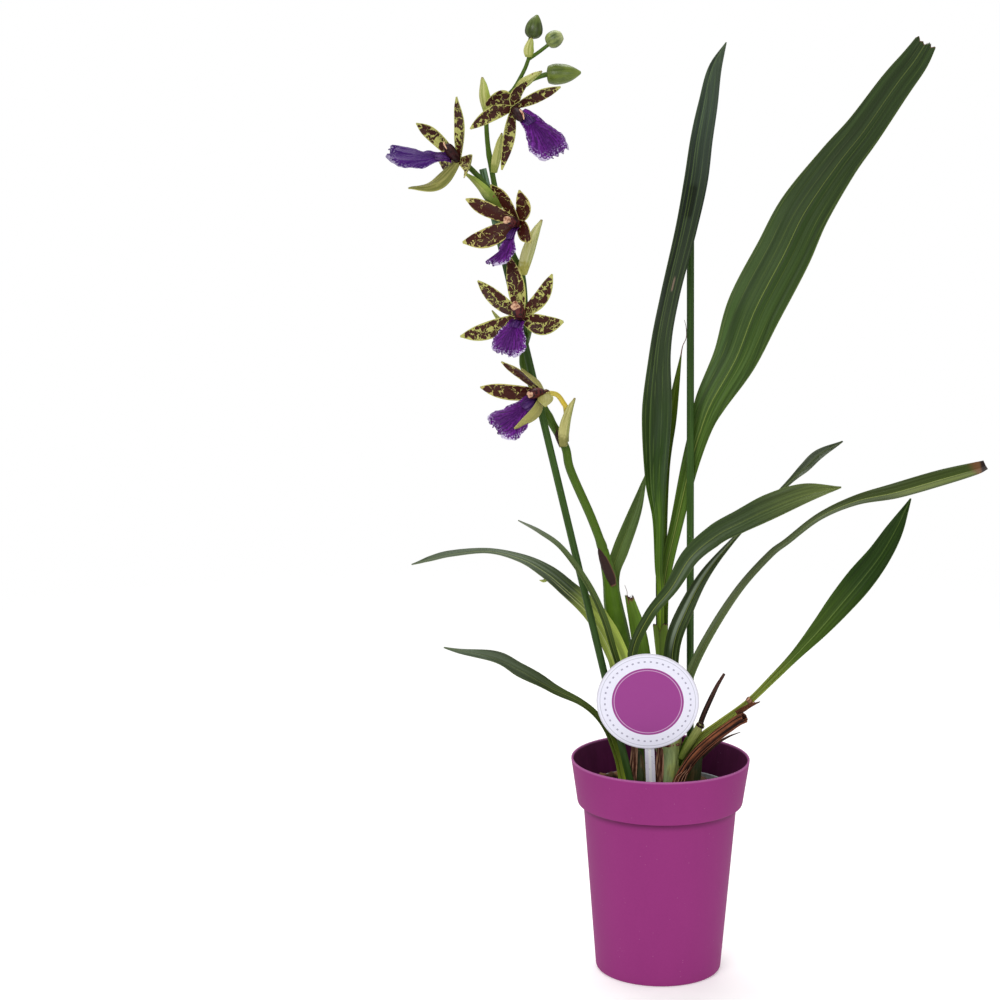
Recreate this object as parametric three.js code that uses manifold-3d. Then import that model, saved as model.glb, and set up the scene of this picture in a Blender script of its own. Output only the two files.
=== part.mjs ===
// A zygopetalum orchid in its pot: a fan of strap leaves on ridged bulbs, and one flower spike
// with five open blooms and three buds, beside two canes. The plant stands in bark in a thin
// nursery pot, inside a moulded cover pot with a straight collar.
// Millimetres, +Z up. The origin is the centre of the cover pot's foot.
import * as THREE from "three";
import { mergeVertices } from "three/addons/utils/BufferGeometryUtils.js";
import Module from "manifold-3d";

const wasm = await Module();
wasm.setup();

// ---- Driving dimensions ----
const GAP = 0.3; // clearance between pieces that touch
const POT_HEIGHT = 153;
const POT_RIM_RADIUS = 62.5;
const POT_FOOT_RADIUS = 44;
const POT_WAIST_RADIUS = 53.5; // top of the body, under the collar
const COLLAR_FOOT_RADIUS = 57.7;
const COLLAR_FOOT_HEIGHT = 121.5;
const POT_WALL = 1.5;
const POT_SIDES = 36;
const NURSERY_RIM_RADIUS = 53;
const NURSERY_RIM_HEIGHT = 130;
const NURSERY_WALL = 1.2;
const NURSERY_SIDES = 28; // the bark inside has as many
const BARK_TOP = 125.5;
const BARK_CHIPS = 28;
const BARK_SPREAD = 44; // out to where the chips lie
const CANE_RADIUS = 2.5;
const LEAF_THICKNESS = 0.9;
const TEPAL_THICKNESS = 0.8;
const LABEL_RADIUS = 35;
const LABEL_THICKNESS = 1.2;
const LABEL_CENTRE = [-9, -38, 203];
const LABEL_LEAN = THREE.MathUtils.degToRad(8); // towards the front
const LABEL_TILT = THREE.MathUtils.degToRad(-2.5); // to the left at its top
const LABEL_STAKE_TOP = 12; // above the card's centre
const LABEL_STAKE_FOOT = -112;
const LABEL_STAKE_WIDTH = 5.4;

// ---- Materials ----
const finish = (color, roughness) =>
  new THREE.MeshStandardMaterial({ color, roughness, metalness: 0 });
const potPurple = finish("#963a7a", 0.5);
const greyPlastic = finish("#8d9296", 0.6);
const barkBrown = finish("#6b4a33", 0.95);
const caneGreen = finish("#2d5f32", 0.5);
const cardWhite = finish("#e4e2f0", 0.45);
const clearPlastic = finish("#c9cdd6", 0.3);
const leafGreen = finish("#324b28", 0.5);
const paleGreen = finish("#7f9a3c", 0.55);
const stemGreen = finish("#557823", 0.5);
const bulbGreen = finish("#6f8a3a", 0.55);
const dryBrown = finish("#4b2819", 0.9);
const tepalMaroon = finish("#5a2a1f", 0.55);
const lipViolet = finish("#501478", 0.6);
const columnMaroon = finish("#46141e", 0.5);

// ---- Solids from curves ----
const vector = ([x, y, z]) => new THREE.Vector3(x, y, z);
const spline = (points) => new THREE.CatmullRomCurve3(points.map(vector), false, "catmullrom");

// A number that changes smoothly along a piece, from a few values at even steps.
function along(values) {
  if (values.length === 1) return () => values[0];
  const line = spline(values.map((value) => [value, 0, 0]));
  return (v) => line.getPoint(v).x;
}

// A closed three.js geometry becomes a solid that can be joined and cut.
function solid(geometry) {
  const bare = geometry.clone();
  bare.deleteAttribute("normal");
  bare.deleteAttribute("uv");
  const merged = mergeVertices(bare, 1e-4);
  return new wasm.Manifold(
    new wasm.Mesh({
      numProp: 3,
      vertProperties: new Float32Array(merged.attributes.position.array),
      triVerts: new Uint32Array(merged.index.array),
    }),
  );
}

// The flat end of a round section is a fan of triangles.
function fanCap(count) {
  const cap = [];
  for (let j = 1; j < count - 1; j++) cap.push([0, j, j + 1]);
  return cap;
}

// The end of a blade's section is a strip between its lower and its upper points.
function stripCap(count) {
  const cap = [];
  for (let j = 0; j < count / 2 - 1; j++) {
    cap.push([j, j + 1, count - 2 - j]);
    cap.push([j, count - 2 - j, count - 1 - j]);
  }
  return cap;
}

// Equal rings of points, one after another, become one closed skin. From the ring point
// mirrored onwards the quads are split the other way, so that both faces of a blade match.
function loft(rings, cap, mirrored = Infinity) {
  const count = rings[0].length;
  const last = (rings.length - 1) * count;
  const index = [];
  for (let i = 0; i < last; i += count) {
    for (let j = 0; j < count; j++) {
      const a = i + j;
      const b = i + ((j + 1) % count);
      if (j < mirrored) index.push(a, b, b + count, a, b + count, a + count);
      else index.push(a, b, a + count, b, b + count, a + count);
    }
  }
  for (const [a, b, c] of cap(count)) {
    index.push(a, c, b);
    index.push(last + a, last + b, last + c);
  }
  return solid(new THREE.BufferGeometry().setFromPoints(rings.flat()).setIndex(index));
}

// A round stem along a curve, with its radius given by a few values along it.
function stem({ route, radii, sides = 8, steps = 12 }, grow = 0) {
  const line = spline(route);
  const radiusAt = along(radii);
  const { tangents, normals, binormals } = line.computeFrenetFrames(steps);
  const rings = [];
  for (let i = 0; i <= steps; i++) {
    const centre = line.getPointAt(i / steps);
    if (i === 0) centre.addScaledVector(tangents[i], -grow);
    if (i === steps) centre.addScaledVector(tangents[i], grow);
    const radius = radiusAt(i / steps) + grow;
    const ring = [];
    for (let j = 0; j < sides; j++) {
      const angle = (j / sides) * 2 * Math.PI;
      ring.push(
        centre
          .clone()
          .addScaledVector(normals[i], radius * Math.cos(angle))
          .addScaledVector(binormals[i], radius * Math.sin(angle)),
      );
    }
    rings.push(ring);
  }
  return loft(rings, fanCap);
}

// A blade is a thin strip along a curve, with its upper side towards face. At u across it, from
// -1 to 1, fold lifts the margins like a V, and ripple waves them as v runs along it.
function blade(shape, grow = 0) {
  const { route, widths, face, fold = 0, ripple = 0, waves = 0, phase = 0 } = shape;
  const { thickness = LEAF_THICKNESS, across = 5, steps = 16 } = shape;
  const line = spline(route);
  const widthAt = along(widths);
  const reach = thickness / 2 + grow;
  const rings = [];
  for (let i = 0; i <= steps; i++) {
    const v = i / steps;
    const centre = line.getPoint(v);
    const ahead = line.getTangent(v);
    if (i === 0) centre.addScaledVector(ahead, -grow);
    if (i === steps) centre.addScaledVector(ahead, grow);
    const up = vector(face).addScaledVector(ahead, -ahead.dot(vector(face))).normalize();
    const side = up.clone().cross(ahead);
    const half = widthAt(v) / 2 + grow;
    const steep = fold * Math.min(1, half / 3);
    const shrink = half / Math.hypot(1, steep);
    const section = [];
    for (let k = 0; k < across; k++) {
      const u = (2 * k) / (across - 1) - 1;
      const wave = ripple * u * u * Math.sin(2 * Math.PI * waves * v + phase * Math.sign(u));
      section.push(new THREE.Vector2(u * shrink, steep * Math.abs(u) ** 1.4 * shrink + wave * v));
    }
    const lower = [];
    const upper = [];
    section.forEach((point, k) => {
      const before = section[Math.max(k - 1, 0)];
      const after = section[Math.min(k + 1, across - 1)];
      const slope = after.clone().sub(before).normalize();
      const lift = new THREE.Vector2(-slope.y, slope.x).multiplyScalar(reach);
      const at = ({ x, y }) => centre.clone().addScaledVector(side, x).addScaledVector(up, y);
      lower.push(at(point.clone().sub(lift)));
      upper.unshift(at(point.clone().add(lift)));
    });
    rings.push([...lower, ...upper]);
  }
  return loft(rings, stripCap, across);
}

// ---- Assembly ----
const orchid = new THREE.Group();
const placed = [];

function addMesh(name, material, body) {
  const { vertProperties, triVerts } = body.getMesh();
  const geometry = new THREE.BufferGeometry();
  geometry.setAttribute("position", new THREE.BufferAttribute(vertProperties, 3));
  geometry.setIndex(new THREE.BufferAttribute(triVerts, 1));
  geometry.computeVertexNormals();
  const mesh = new THREE.Mesh(geometry, material);
  mesh.name = name;
  orchid.add(mesh);
}

function boxOf(body) {
  const { min, max } = body.boundingBox();
  return new THREE.Box3(vector(min), vector(max));
}

// A cut can leave loose scraps, so a piece keeps only its biggest body.
function biggest(body) {
  const parts = body.decompose().sort((a, b) => b.volume() - a.volume());
  return parts[0];
}

// Adds a piece, cut clear of every piece before it. shape(grow) gives its solid, grown all
// round by that much.
function place(name, material, shape) {
  let body = shape(0);
  for (const other of placed) {
    if (other.box.intersectsBox(boxOf(body))) body = body.subtract(other.grown);
  }
  addMesh(name, material, biggest(body));
  const grown = shape(GAP);
  placed.push({ grown, box: boxOf(grown) });
}

// ---- Pots and bark ----
const turned = (path, sides) =>
  solid(new THREE.LatheGeometry(path.getPoints(2), sides).rotateX(Math.PI / 2));

const ledge = COLLAR_FOOT_HEIGHT - 1; // where the collar steps out from the body
const shelf = ledge + POT_WALL; // inside that step, the nursery pot's rim rests on it

function coverPot() {
  const floor = 3;
  const rimInside = POT_RIM_RADIUS - POT_WALL;
  const lip = POT_RIM_RADIUS - POT_WALL / 2;
  const path = new THREE.Path()
    .moveTo(0, 0)
    .lineTo(POT_FOOT_RADIUS - 5, 0)
    .quadraticCurveTo(POT_FOOT_RADIUS - 0.4, 0, POT_FOOT_RADIUS, 5)
    .lineTo(POT_WAIST_RADIUS, COLLAR_FOOT_HEIGHT - 5)
    .quadraticCurveTo(POT_WAIST_RADIUS + 0.5, ledge - 0.5, COLLAR_FOOT_RADIUS - 1.5, ledge)
    .quadraticCurveTo(COLLAR_FOOT_RADIUS - 0.2, ledge + 0.3, COLLAR_FOOT_RADIUS, ledge + 2)
    .lineTo(POT_RIM_RADIUS - 0.2, POT_HEIGHT - 1.5)
    .quadraticCurveTo(POT_RIM_RADIUS, POT_HEIGHT, lip, POT_HEIGHT)
    .quadraticCurveTo(rimInside, POT_HEIGHT, rimInside, POT_HEIGHT - 1.5)
    .lineTo(COLLAR_FOOT_RADIUS - POT_WALL, shelf + 2)
    .lineTo(COLLAR_FOOT_RADIUS - POT_WALL - 0.8, shelf)
    .lineTo(POT_WAIST_RADIUS - POT_WALL, shelf)
    .lineTo(POT_FOOT_RADIUS - POT_WALL, floor + 3)
    .lineTo(POT_FOOT_RADIUS - POT_WALL - 4, floor)
    .lineTo(0, floor);
  return turned(path, POT_SIDES);
}

const nurseryFoot = { radius: 38, height: 8 };
const nurseryNeck = {
  radius: POT_WAIST_RADIUS - POT_WALL - 1,
  height: shelf + GAP,
};

function nurseryPot() {
  const rimInside = NURSERY_RIM_RADIUS - NURSERY_WALL;
  const path = new THREE.Path()
    .moveTo(0, nurseryFoot.height)
    .lineTo(nurseryFoot.radius, nurseryFoot.height)
    .lineTo(nurseryNeck.radius, nurseryNeck.height)
    .lineTo(NURSERY_RIM_RADIUS - 1.2, nurseryNeck.height)
    .lineTo(NURSERY_RIM_RADIUS, nurseryNeck.height + 2)
    .lineTo(NURSERY_RIM_RADIUS, NURSERY_RIM_HEIGHT - 0.5)
    .lineTo(NURSERY_RIM_RADIUS - 0.4, NURSERY_RIM_HEIGHT)
    .lineTo(rimInside, NURSERY_RIM_HEIGHT)
    .lineTo(rimInside, nurseryNeck.height + 2)
    .lineTo(nurseryNeck.radius - NURSERY_WALL, nurseryNeck.height - 1)
    .lineTo(nurseryFoot.radius - NURSERY_WALL, nurseryFoot.height + NURSERY_WALL)
    .lineTo(0, nurseryFoot.height + NURSERY_WALL);
  return turned(path, NURSERY_SIDES);
}

// The room inside the nursery pot, up to a height.
function nurseryRoom(height) {
  const side = NURSERY_WALL + GAP;
  const bottom = nurseryFoot.height + side;
  const path = new THREE.Path()
    .moveTo(0, bottom)
    .lineTo(nurseryFoot.radius - side, bottom)
    .lineTo(nurseryNeck.radius - side, nurseryNeck.height - 1)
    .lineTo(NURSERY_RIM_RADIUS - side, nurseryNeck.height + 2 + GAP)
    .lineTo(NURSERY_RIM_RADIUS - side, height)
    .lineTo(0, height);
  return turned(path, NURSERY_SIDES);
}

// Bark fills the nursery pot. Its chips are small blocks, half sunk in the top at random angles.
function bark() {
  const room = nurseryRoom(BARK_TOP + 20);
  let mass = nurseryRoom(BARK_TOP);
  let seed = 11;
  const random = () => {
    seed = (seed * 16807) % 2147483647;
    return seed / 2147483647;
  };
  for (let i = 0; i < BARK_CHIPS; i++) {
    const radius = BARK_SPREAD * Math.sqrt((i + 0.5) / BARK_CHIPS);
    const angle = i * 2.4 + random() * 0.5;
    const height = BARK_TOP + 1 + 4 * random();
    const chip = new THREE.BoxGeometry(10 + 8 * random(), 7 + 4 * random(), 4 + 2 * random());
    chip.rotateX((random() - 0.5) * 1.1);
    chip.rotateY((random() - 0.5) * 0.9);
    chip.rotateZ(random() * Math.PI);
    chip.translate(radius * Math.cos(angle), radius * Math.sin(angle), height);
    mass = mass.add(solid(chip).intersect(room));
  }
  return mass;
}

addMesh("pot", potPurple, coverPot());
addMesh("nursery_pot", greyPlastic, nurseryPot());

// ---- Canes and label ----
const canes = {
  cane_left: [[-2, -25, 66], [-124, -4, 562]],
  cane_right: [[22, 12, 66], [16, 12, 549]],
};
for (const [name, route] of Object.entries(canes)) {
  place(name, caneGreen, (grow) => stem({ route, radii: [CANE_RADIUS], sides: 12, steps: 2 }, grow));
}

// The card and its stake lean forwards as one. Both are made upright round the card's centre.
function labelCard(grow) {
  const radius = LABEL_RADIUS + grow;
  return new THREE.CylinderGeometry(radius, radius, LABEL_THICKNESS + 2 * grow, 36);
}

function labelStake(grow) {
  const half = LABEL_STAKE_WIDTH / 2 + grow;
  const rib = 1 + grow;
  const front = LABEL_THICKNESS / 2 + GAP - grow;
  const back = front + 1.4 + 2 * grow;
  const outline = new THREE.Shape()
    .moveTo(-half, front)
    .lineTo(half, front)
    .lineTo(half, back)
    .lineTo(rib, back)
    .lineTo(rib, back + 1)
    .lineTo(-rib, back + 1)
    .lineTo(-rib, back)
    .lineTo(-half, back);
  const depth = LABEL_STAKE_TOP - LABEL_STAKE_FOOT + 2 * grow;
  const bar = new THREE.ExtrudeGeometry(outline, { depth, bevelEnabled: false });
  return bar.translate(0, 0, LABEL_STAKE_FOOT - grow);
}

const leaning = (geometry) =>
  solid(geometry.rotateY(LABEL_TILT).rotateX(LABEL_LEAN).translate(...LABEL_CENTRE));

place("label_card", cardWhite, (grow) => leaning(labelCard(grow)));
place("label_stake", clearPlastic, (grow) => leaning(labelStake(grow)));

// ---- Bulbs ----
const bulbs = {
  bulb_main: {
    route: [[4, -6, 118], [4, -6, 145], [3, -4, 170], [1, 0, 190]],
    radii: [7, 11, 11.5, 9, 6.5, 4.5],
    sides: 14,
  },
  bulb_left: {
    route: [[-15, -8, 118], [-15, -9, 145], [-15, -8, 160]],
    radii: [4, 5.6, 5.6, 4.2, 1.5],
    sides: 10,
  },
  bulb_right: {
    route: [[20, -3, 120], [22, -4, 145], [27, -5, 170]],
    radii: [4, 6.2, 6.6, 5, 3.2],
    sides: 10,
  },
};
for (const [name, shape] of Object.entries(bulbs)) {
  place(name, bulbGreen, (grow) => stem({ ...shape, steps: 7 }, grow));
}

// ---- Flower spike: the stem, its branches and the flower stalks are one growth ----
const spikeStems = [
  {
    route: [
      [-10, 12, 118], [-19, 12, 180], [-29, 12, 234], [-35, 12, 272], [-40, 11, 294], [-49, 8, 320],
      [-64, 5, 355], [-68, 4, 372], [-79, 3, 392], [-95, 5, 423], [-97, 5, 436], [-96, 6, 462],
      [-98, 6, 490], [-105, 5, 505], [-111, 4, 524], [-117, 2, 554], [-121, 0, 580], [-121, 0, 600],
      [-114, -1, 606], [-106, -1, 612], [-102, 0, 617], [-96, 0, 628], [-93, 0, 636],
    ],
    radii: [3, 3.3, 3.4, 3.4, 3.4, 2.8, 2.7, 2.6, 2.6, 2.5, 2.4, 2.2, 2, 1.7, 1.4, 1.3],
    steps: 32,
    sides: 7,
  },
  {
    route: [[-67, 2, 376], [-67, -4, 398], [-69, -7, 404], [-73, -12, 410], [-79, -17, 412]],
    radii: [1.9, 1.7],
  },
  { route: [[-97, 5, 438], [-94, -2, 446], [-92, -12, 455], [-95, -18, 462]], radii: [2, 1.8] },
  { route: [[-98, 6, 490], [-94, 2, 504], [-94, -4, 514], [-98, -12, 525]], radii: [2, 1.8] },
  {
    route: [[-114, 3, 534], [-116, -5, 539], [-118, -11, 546], [-125, -13, 556], [-136, -12, 567]],
    radii: [2, 1.8],
  },
  { route: [[-120, 0, 600], [-116, -6, 605], [-110, -11, 606], [-105, -13, 604]], radii: [1.8, 1.6] },
  { route: [[-102, 0, 616], [-94, -3, 620], [-87, -4, 623], [-80, -4, 625]], radii: [1.8, 1.7] },
  { route: [[-93, 0, 635], [-93, 0, 642], [-91.5, 0, 651]], radii: [1.5, 1.5] },
  { route: [[-93, 0, 635], [-87, -2, 639], [-79, -2, 645]], radii: [1.3, 1.2] },
];

function spike(grow) {
  const parts = spikeStems.map((shape) => stem({ steps: 4, sides: 6, ...shape }, grow));
  return parts.reduce((joined, next) => joined.add(next));
}
place("spike", stemGreen, spike);

const sheaths = {
  spike_sheath: {
    material: paleGreen,
    shape: { route: [[-17, 12, 178], [-27, 12, 225], [-35, 12, 271]], radii: [6, 7.4, 7.6, 6] },
  },
  spike_dry_sheath: {
    material: dryBrown,
    shape: {
      route: [[-35.3, 12, 272.5], [-37.5, 11.6, 283], [-41, 10.8, 297]],
      radii: [5.4, 4.9, 4.3],
    },
  },
};
for (const [name, { material, shape }] of Object.entries(sheaths)) {
  place(name, material, (grow) => stem({ ...shape, sides: 9, steps: 4 }, grow));
}

// ---- Blooms ----
// hub is where the parts of a bloom meet, and axis is the way it faces. Each tepal runs from the
// hub through a middle point to its tip. The widths are shares of the widest place.
const TEPAL_WIDTHS = [0.32, 0.7, 0.95, 1, 0.88, 0.58, 0.1];
const LIP_WIDTHS = [0.3, 0.34, 0.62, 0.9, 1, 0.82, 0.3];
const blooms = {
  a: {
    hub: [-81, -19, 412],
    axis: [-0.8, -0.55, -0.1],
    tepals: [
      { middle: [-96, -23, 425], tip: [-110, -24, 434], width: 10 },
      { middle: [-105, -20, 413], tip: [-125, -14, 415], width: 12 },
      { middle: [-88, -16, 421], tip: [-97, -14, 428], width: 10, axis: [-0.4, 0.3, -0.9] },
      { middle: [-81, -31, 410], tip: [-82, -42, 403], width: 12, axis: [0, 0.4, -1] },
      { middle: [-87, -31, 400], tip: [-102, -38, 390], width: 12, axis: [-0.5, 0.75, 0.3] },
    ],
    lip: { middle: [-101, -29, 398], tip: [-115, -35, 390], width: 31, axis: [-0.45, -0.75, 0.5] },
    column: { route: [[-82, -20, 412], [-87, -26, 413], [-92, -31, 412]] },
  },
  b: {
    hub: [-97, -20, 464],
    axis: [-0.3, -0.93, 0.15],
    tepals: [
      { middle: [-100, -21, 485], tip: [-105, -17, 504], width: 13 },
      { middle: [-113, -17, 475], tip: [-127, -10, 487], width: 11 },
      { middle: [-83, -23, 477], tip: [-76, -22, 493], width: 11 },
      { middle: [-119, -17, 454], tip: [-139, -9, 449], width: 12.5 },
      { middle: [-82, -26, 459], tip: [-68, -31, 462], width: 14 },
    ],
    lip: { middle: [-103, -33, 455], tip: [-109, -38, 441], width: 25, axis: [-0.2, -0.75, 0.6] },
    column: { route: [[-97, -22, 464], [-98, -28, 468], [-100, -33, 473]] },
  },
  c: {
    hub: [-99, -14, 527],
    axis: [-0.7, -0.68, -0.1],
    tepals: [
      { middle: [-108, -15, 542], tip: [-118, -13, 552], width: 12 },
      { middle: [-95, -18, 537], tip: [-98, -24, 549], width: 12, axis: [-0.4, -0.9, 0.1] },
      { middle: [-120, -13, 536], tip: [-135, -10, 542], width: 12 },
      { middle: [-118, -15, 517], tip: [-137, -12, 513], width: 14 },
      { middle: [-94, -24, 521], tip: [-90, -34, 515], width: 12, axis: [-0.8, -0.3, 0.4] },
    ],
    lip: { middle: [-108, -25, 510], tip: [-118, -31, 500], width: 23, axis: [-0.6, -0.4, 0.7] },
    column: { route: [[-100, -16, 526], [-103, -23, 528], [-106, -28, 529]] },
  },
  d: {
    hub: [-139, -12, 568],
    axis: [-0.75, -0.65, 0.1],
    tepals: [
      { middle: [-138, -12, 589], tip: [-141, -8, 610], width: 12 },
      { middle: [-155, -6, 583], tip: [-169, 0, 592], width: 11 },
      { middle: [-154, -21, 553], tip: [-172, -27, 550], width: 11, axis: [0.3, -0.4, 0.8] },
      { middle: [-131, -24, 566], tip: [-134, -37, 558], width: 12, axis: [-0.8, 0, 0.5] },
      { middle: [-146, 6, 563], tip: [-156, 22, 566], width: 11 },
    ],
    lip: { middle: [-163, -16, 571], tip: [-187, -14, 575], width: 27, axis: [0.1, -0.45, 0.9] },
    column: { route: [[-141, -13, 570], [-145, -15, 575], [-148, -16, 578]] },
  },
  e: {
    hub: [-103, -14, 603],
    axis: [0.45, -0.8, -0.3],
    tepals: [
      { middle: [-86, -20, 611], tip: [-71, -20, 617], width: 9 },
      { middle: [-101, -15, 612], tip: [-93, -10, 621], width: 9 },
      { middle: [-111, -14, 610], tip: [-122, -17, 604], width: 11 },
      { middle: [-118, -19, 599], tip: [-131, -20, 589], width: 11 },
      { middle: [-106, -19, 583], tip: [-110, -20, 562], width: 9.5 },
    ],
    lip: { middle: [-84, -26, 588], tip: [-71, -31, 575], width: 27, axis: [0.45, -0.75, 0.3] },
    column: { route: [[-102, -17, 602], [-99, -23, 599], [-96, -28, 596]] },
  },
};

for (const [letter, { hub, axis, tepals, lip, column }] of Object.entries(blooms)) {
  const rosette = (grow) => {
    const ball = new THREE.IcosahedronGeometry(2.6 + grow, 0).translate(...hub);
    return tepals.reduce((joined, tepal) => {
      const shape = {
        route: [hub, tepal.middle, tepal.tip],
        widths: TEPAL_WIDTHS.map((share) => share * tepal.width),
        face: tepal.axis ?? axis,
        fold: 0.25,
        thickness: TEPAL_THICKNESS,
        across: 3,
        steps: 5,
      };
      return joined.add(blade(shape, grow));
    }, solid(ball));
  };
  const tongue = {
    route: [vector(hub).lerp(vector(lip.middle), 0.22).toArray(), lip.middle, lip.tip],
    widths: LIP_WIDTHS.map((share) => share * lip.width),
    face: lip.axis,
    fold: -0.2,
    ripple: 2.2,
    waves: 2.4,
    phase: 1.2,
    thickness: TEPAL_THICKNESS,
    across: 7,
    steps: 8,
  };
  place(`bloom_${letter}_tepals`, tepalMaroon, rosette);
  place(`bloom_${letter}_column`, columnMaroon, (grow) =>
    stem({ ...column, radii: [2.6, 2.7, 3.3, 3, 1.6], sides: 7, steps: 4 }, grow),
  );
  place(`bloom_${letter}_lip`, lipViolet, (grow) => blade(tongue, grow));
}

// ---- Buds and bracts ----
const buds = {
  bud_top: {
    route: [[-91.5, 0, 650], [-89.5, 0, 657], [-87.5, 0, 664]],
    radii: [2.2, 5.6, 6, 4.4, 0.7],
  },
  bud_small: {
    route: [[-79.5, -2, 645], [-75, -2, 648], [-70.5, -2, 650.5]],
    radii: [2, 4.8, 5.6, 4.6, 1.6],
  },
  bud_side: {
    route: [[-81, -4, 624.5], [-71, -4, 625], [-58, -4, 626]],
    radii: [3, 6, 7, 6.2, 4, 0.8],
  },
};
for (const [name, shape] of Object.entries(buds)) {
  place(name, stemGreen, (grow) => stem({ ...shape, sides: 9, steps: 7 }, grow));
}

// A bract is a boat-shaped leaf at a joint of the spike, hollow towards its flower stalk.
const bracts = {
  bract_a: {
    route: [[-67, -3, 373], [-65, -6, 390], [-61, -5, 407]],
    width: 13,
    face: [-0.75, 0.6, 0.2],
  },
  bract_b: {
    route: [[-100, 1, 437], [-109, -1, 451], [-118, 0, 466]],
    width: 9,
    face: [0.7, -0.5, 0.5],
  },
  bract_c: {
    route: [[-96, 0, 490], [-90, -4, 510], [-84, -3, 528]],
    width: 13,
    face: [-0.6, 0.75, 0.3],
  },
  bract_d: {
    route: [[-114, -11, 534], [-123, -18, 547], [-135, -18, 560]],
    width: 12,
    face: [0.1, 0.4, 0.5],
  },
  bract_e: {
    route: [[-122, -4, 600], [-124, -6, 611], [-124, -6, 623]],
    width: 11,
    face: [0.5, 0.8, 0],
  },
  bract_between: {
    route: [[-116, -0.5, 559], [-113, -4, 573], [-111, -5, 586]],
    width: 8,
    face: [-0.5, 0.8, 0],
  },
  bract_side_bud: {
    route: [[-100, -4, 615], [-93, -7, 620], [-84, -7, 627]],
    width: 9,
    face: [0, 0.7, 0.6],
  },
  bract_top_bud: {
    route: [[-93, -3, 636], [-93, -4, 642], [-91, -4, 649]],
    width: 8,
    face: [0, 0.9, 0],
  },
};
const BRACT_WIDTHS = [0.7, 0.95, 1, 0.85, 0.6, 0.12];
const boat = { fold: 0.6, thickness: TEPAL_THICKNESS, across: 3, steps: 6 };
for (const [name, { route, width, face }] of Object.entries(bracts)) {
  const shape = { ...boat, route, widths: BRACT_WIDTHS.map((share) => share * width), face };
  place(name, paleGreen, (grow) => blade(shape, grow));
}

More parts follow.
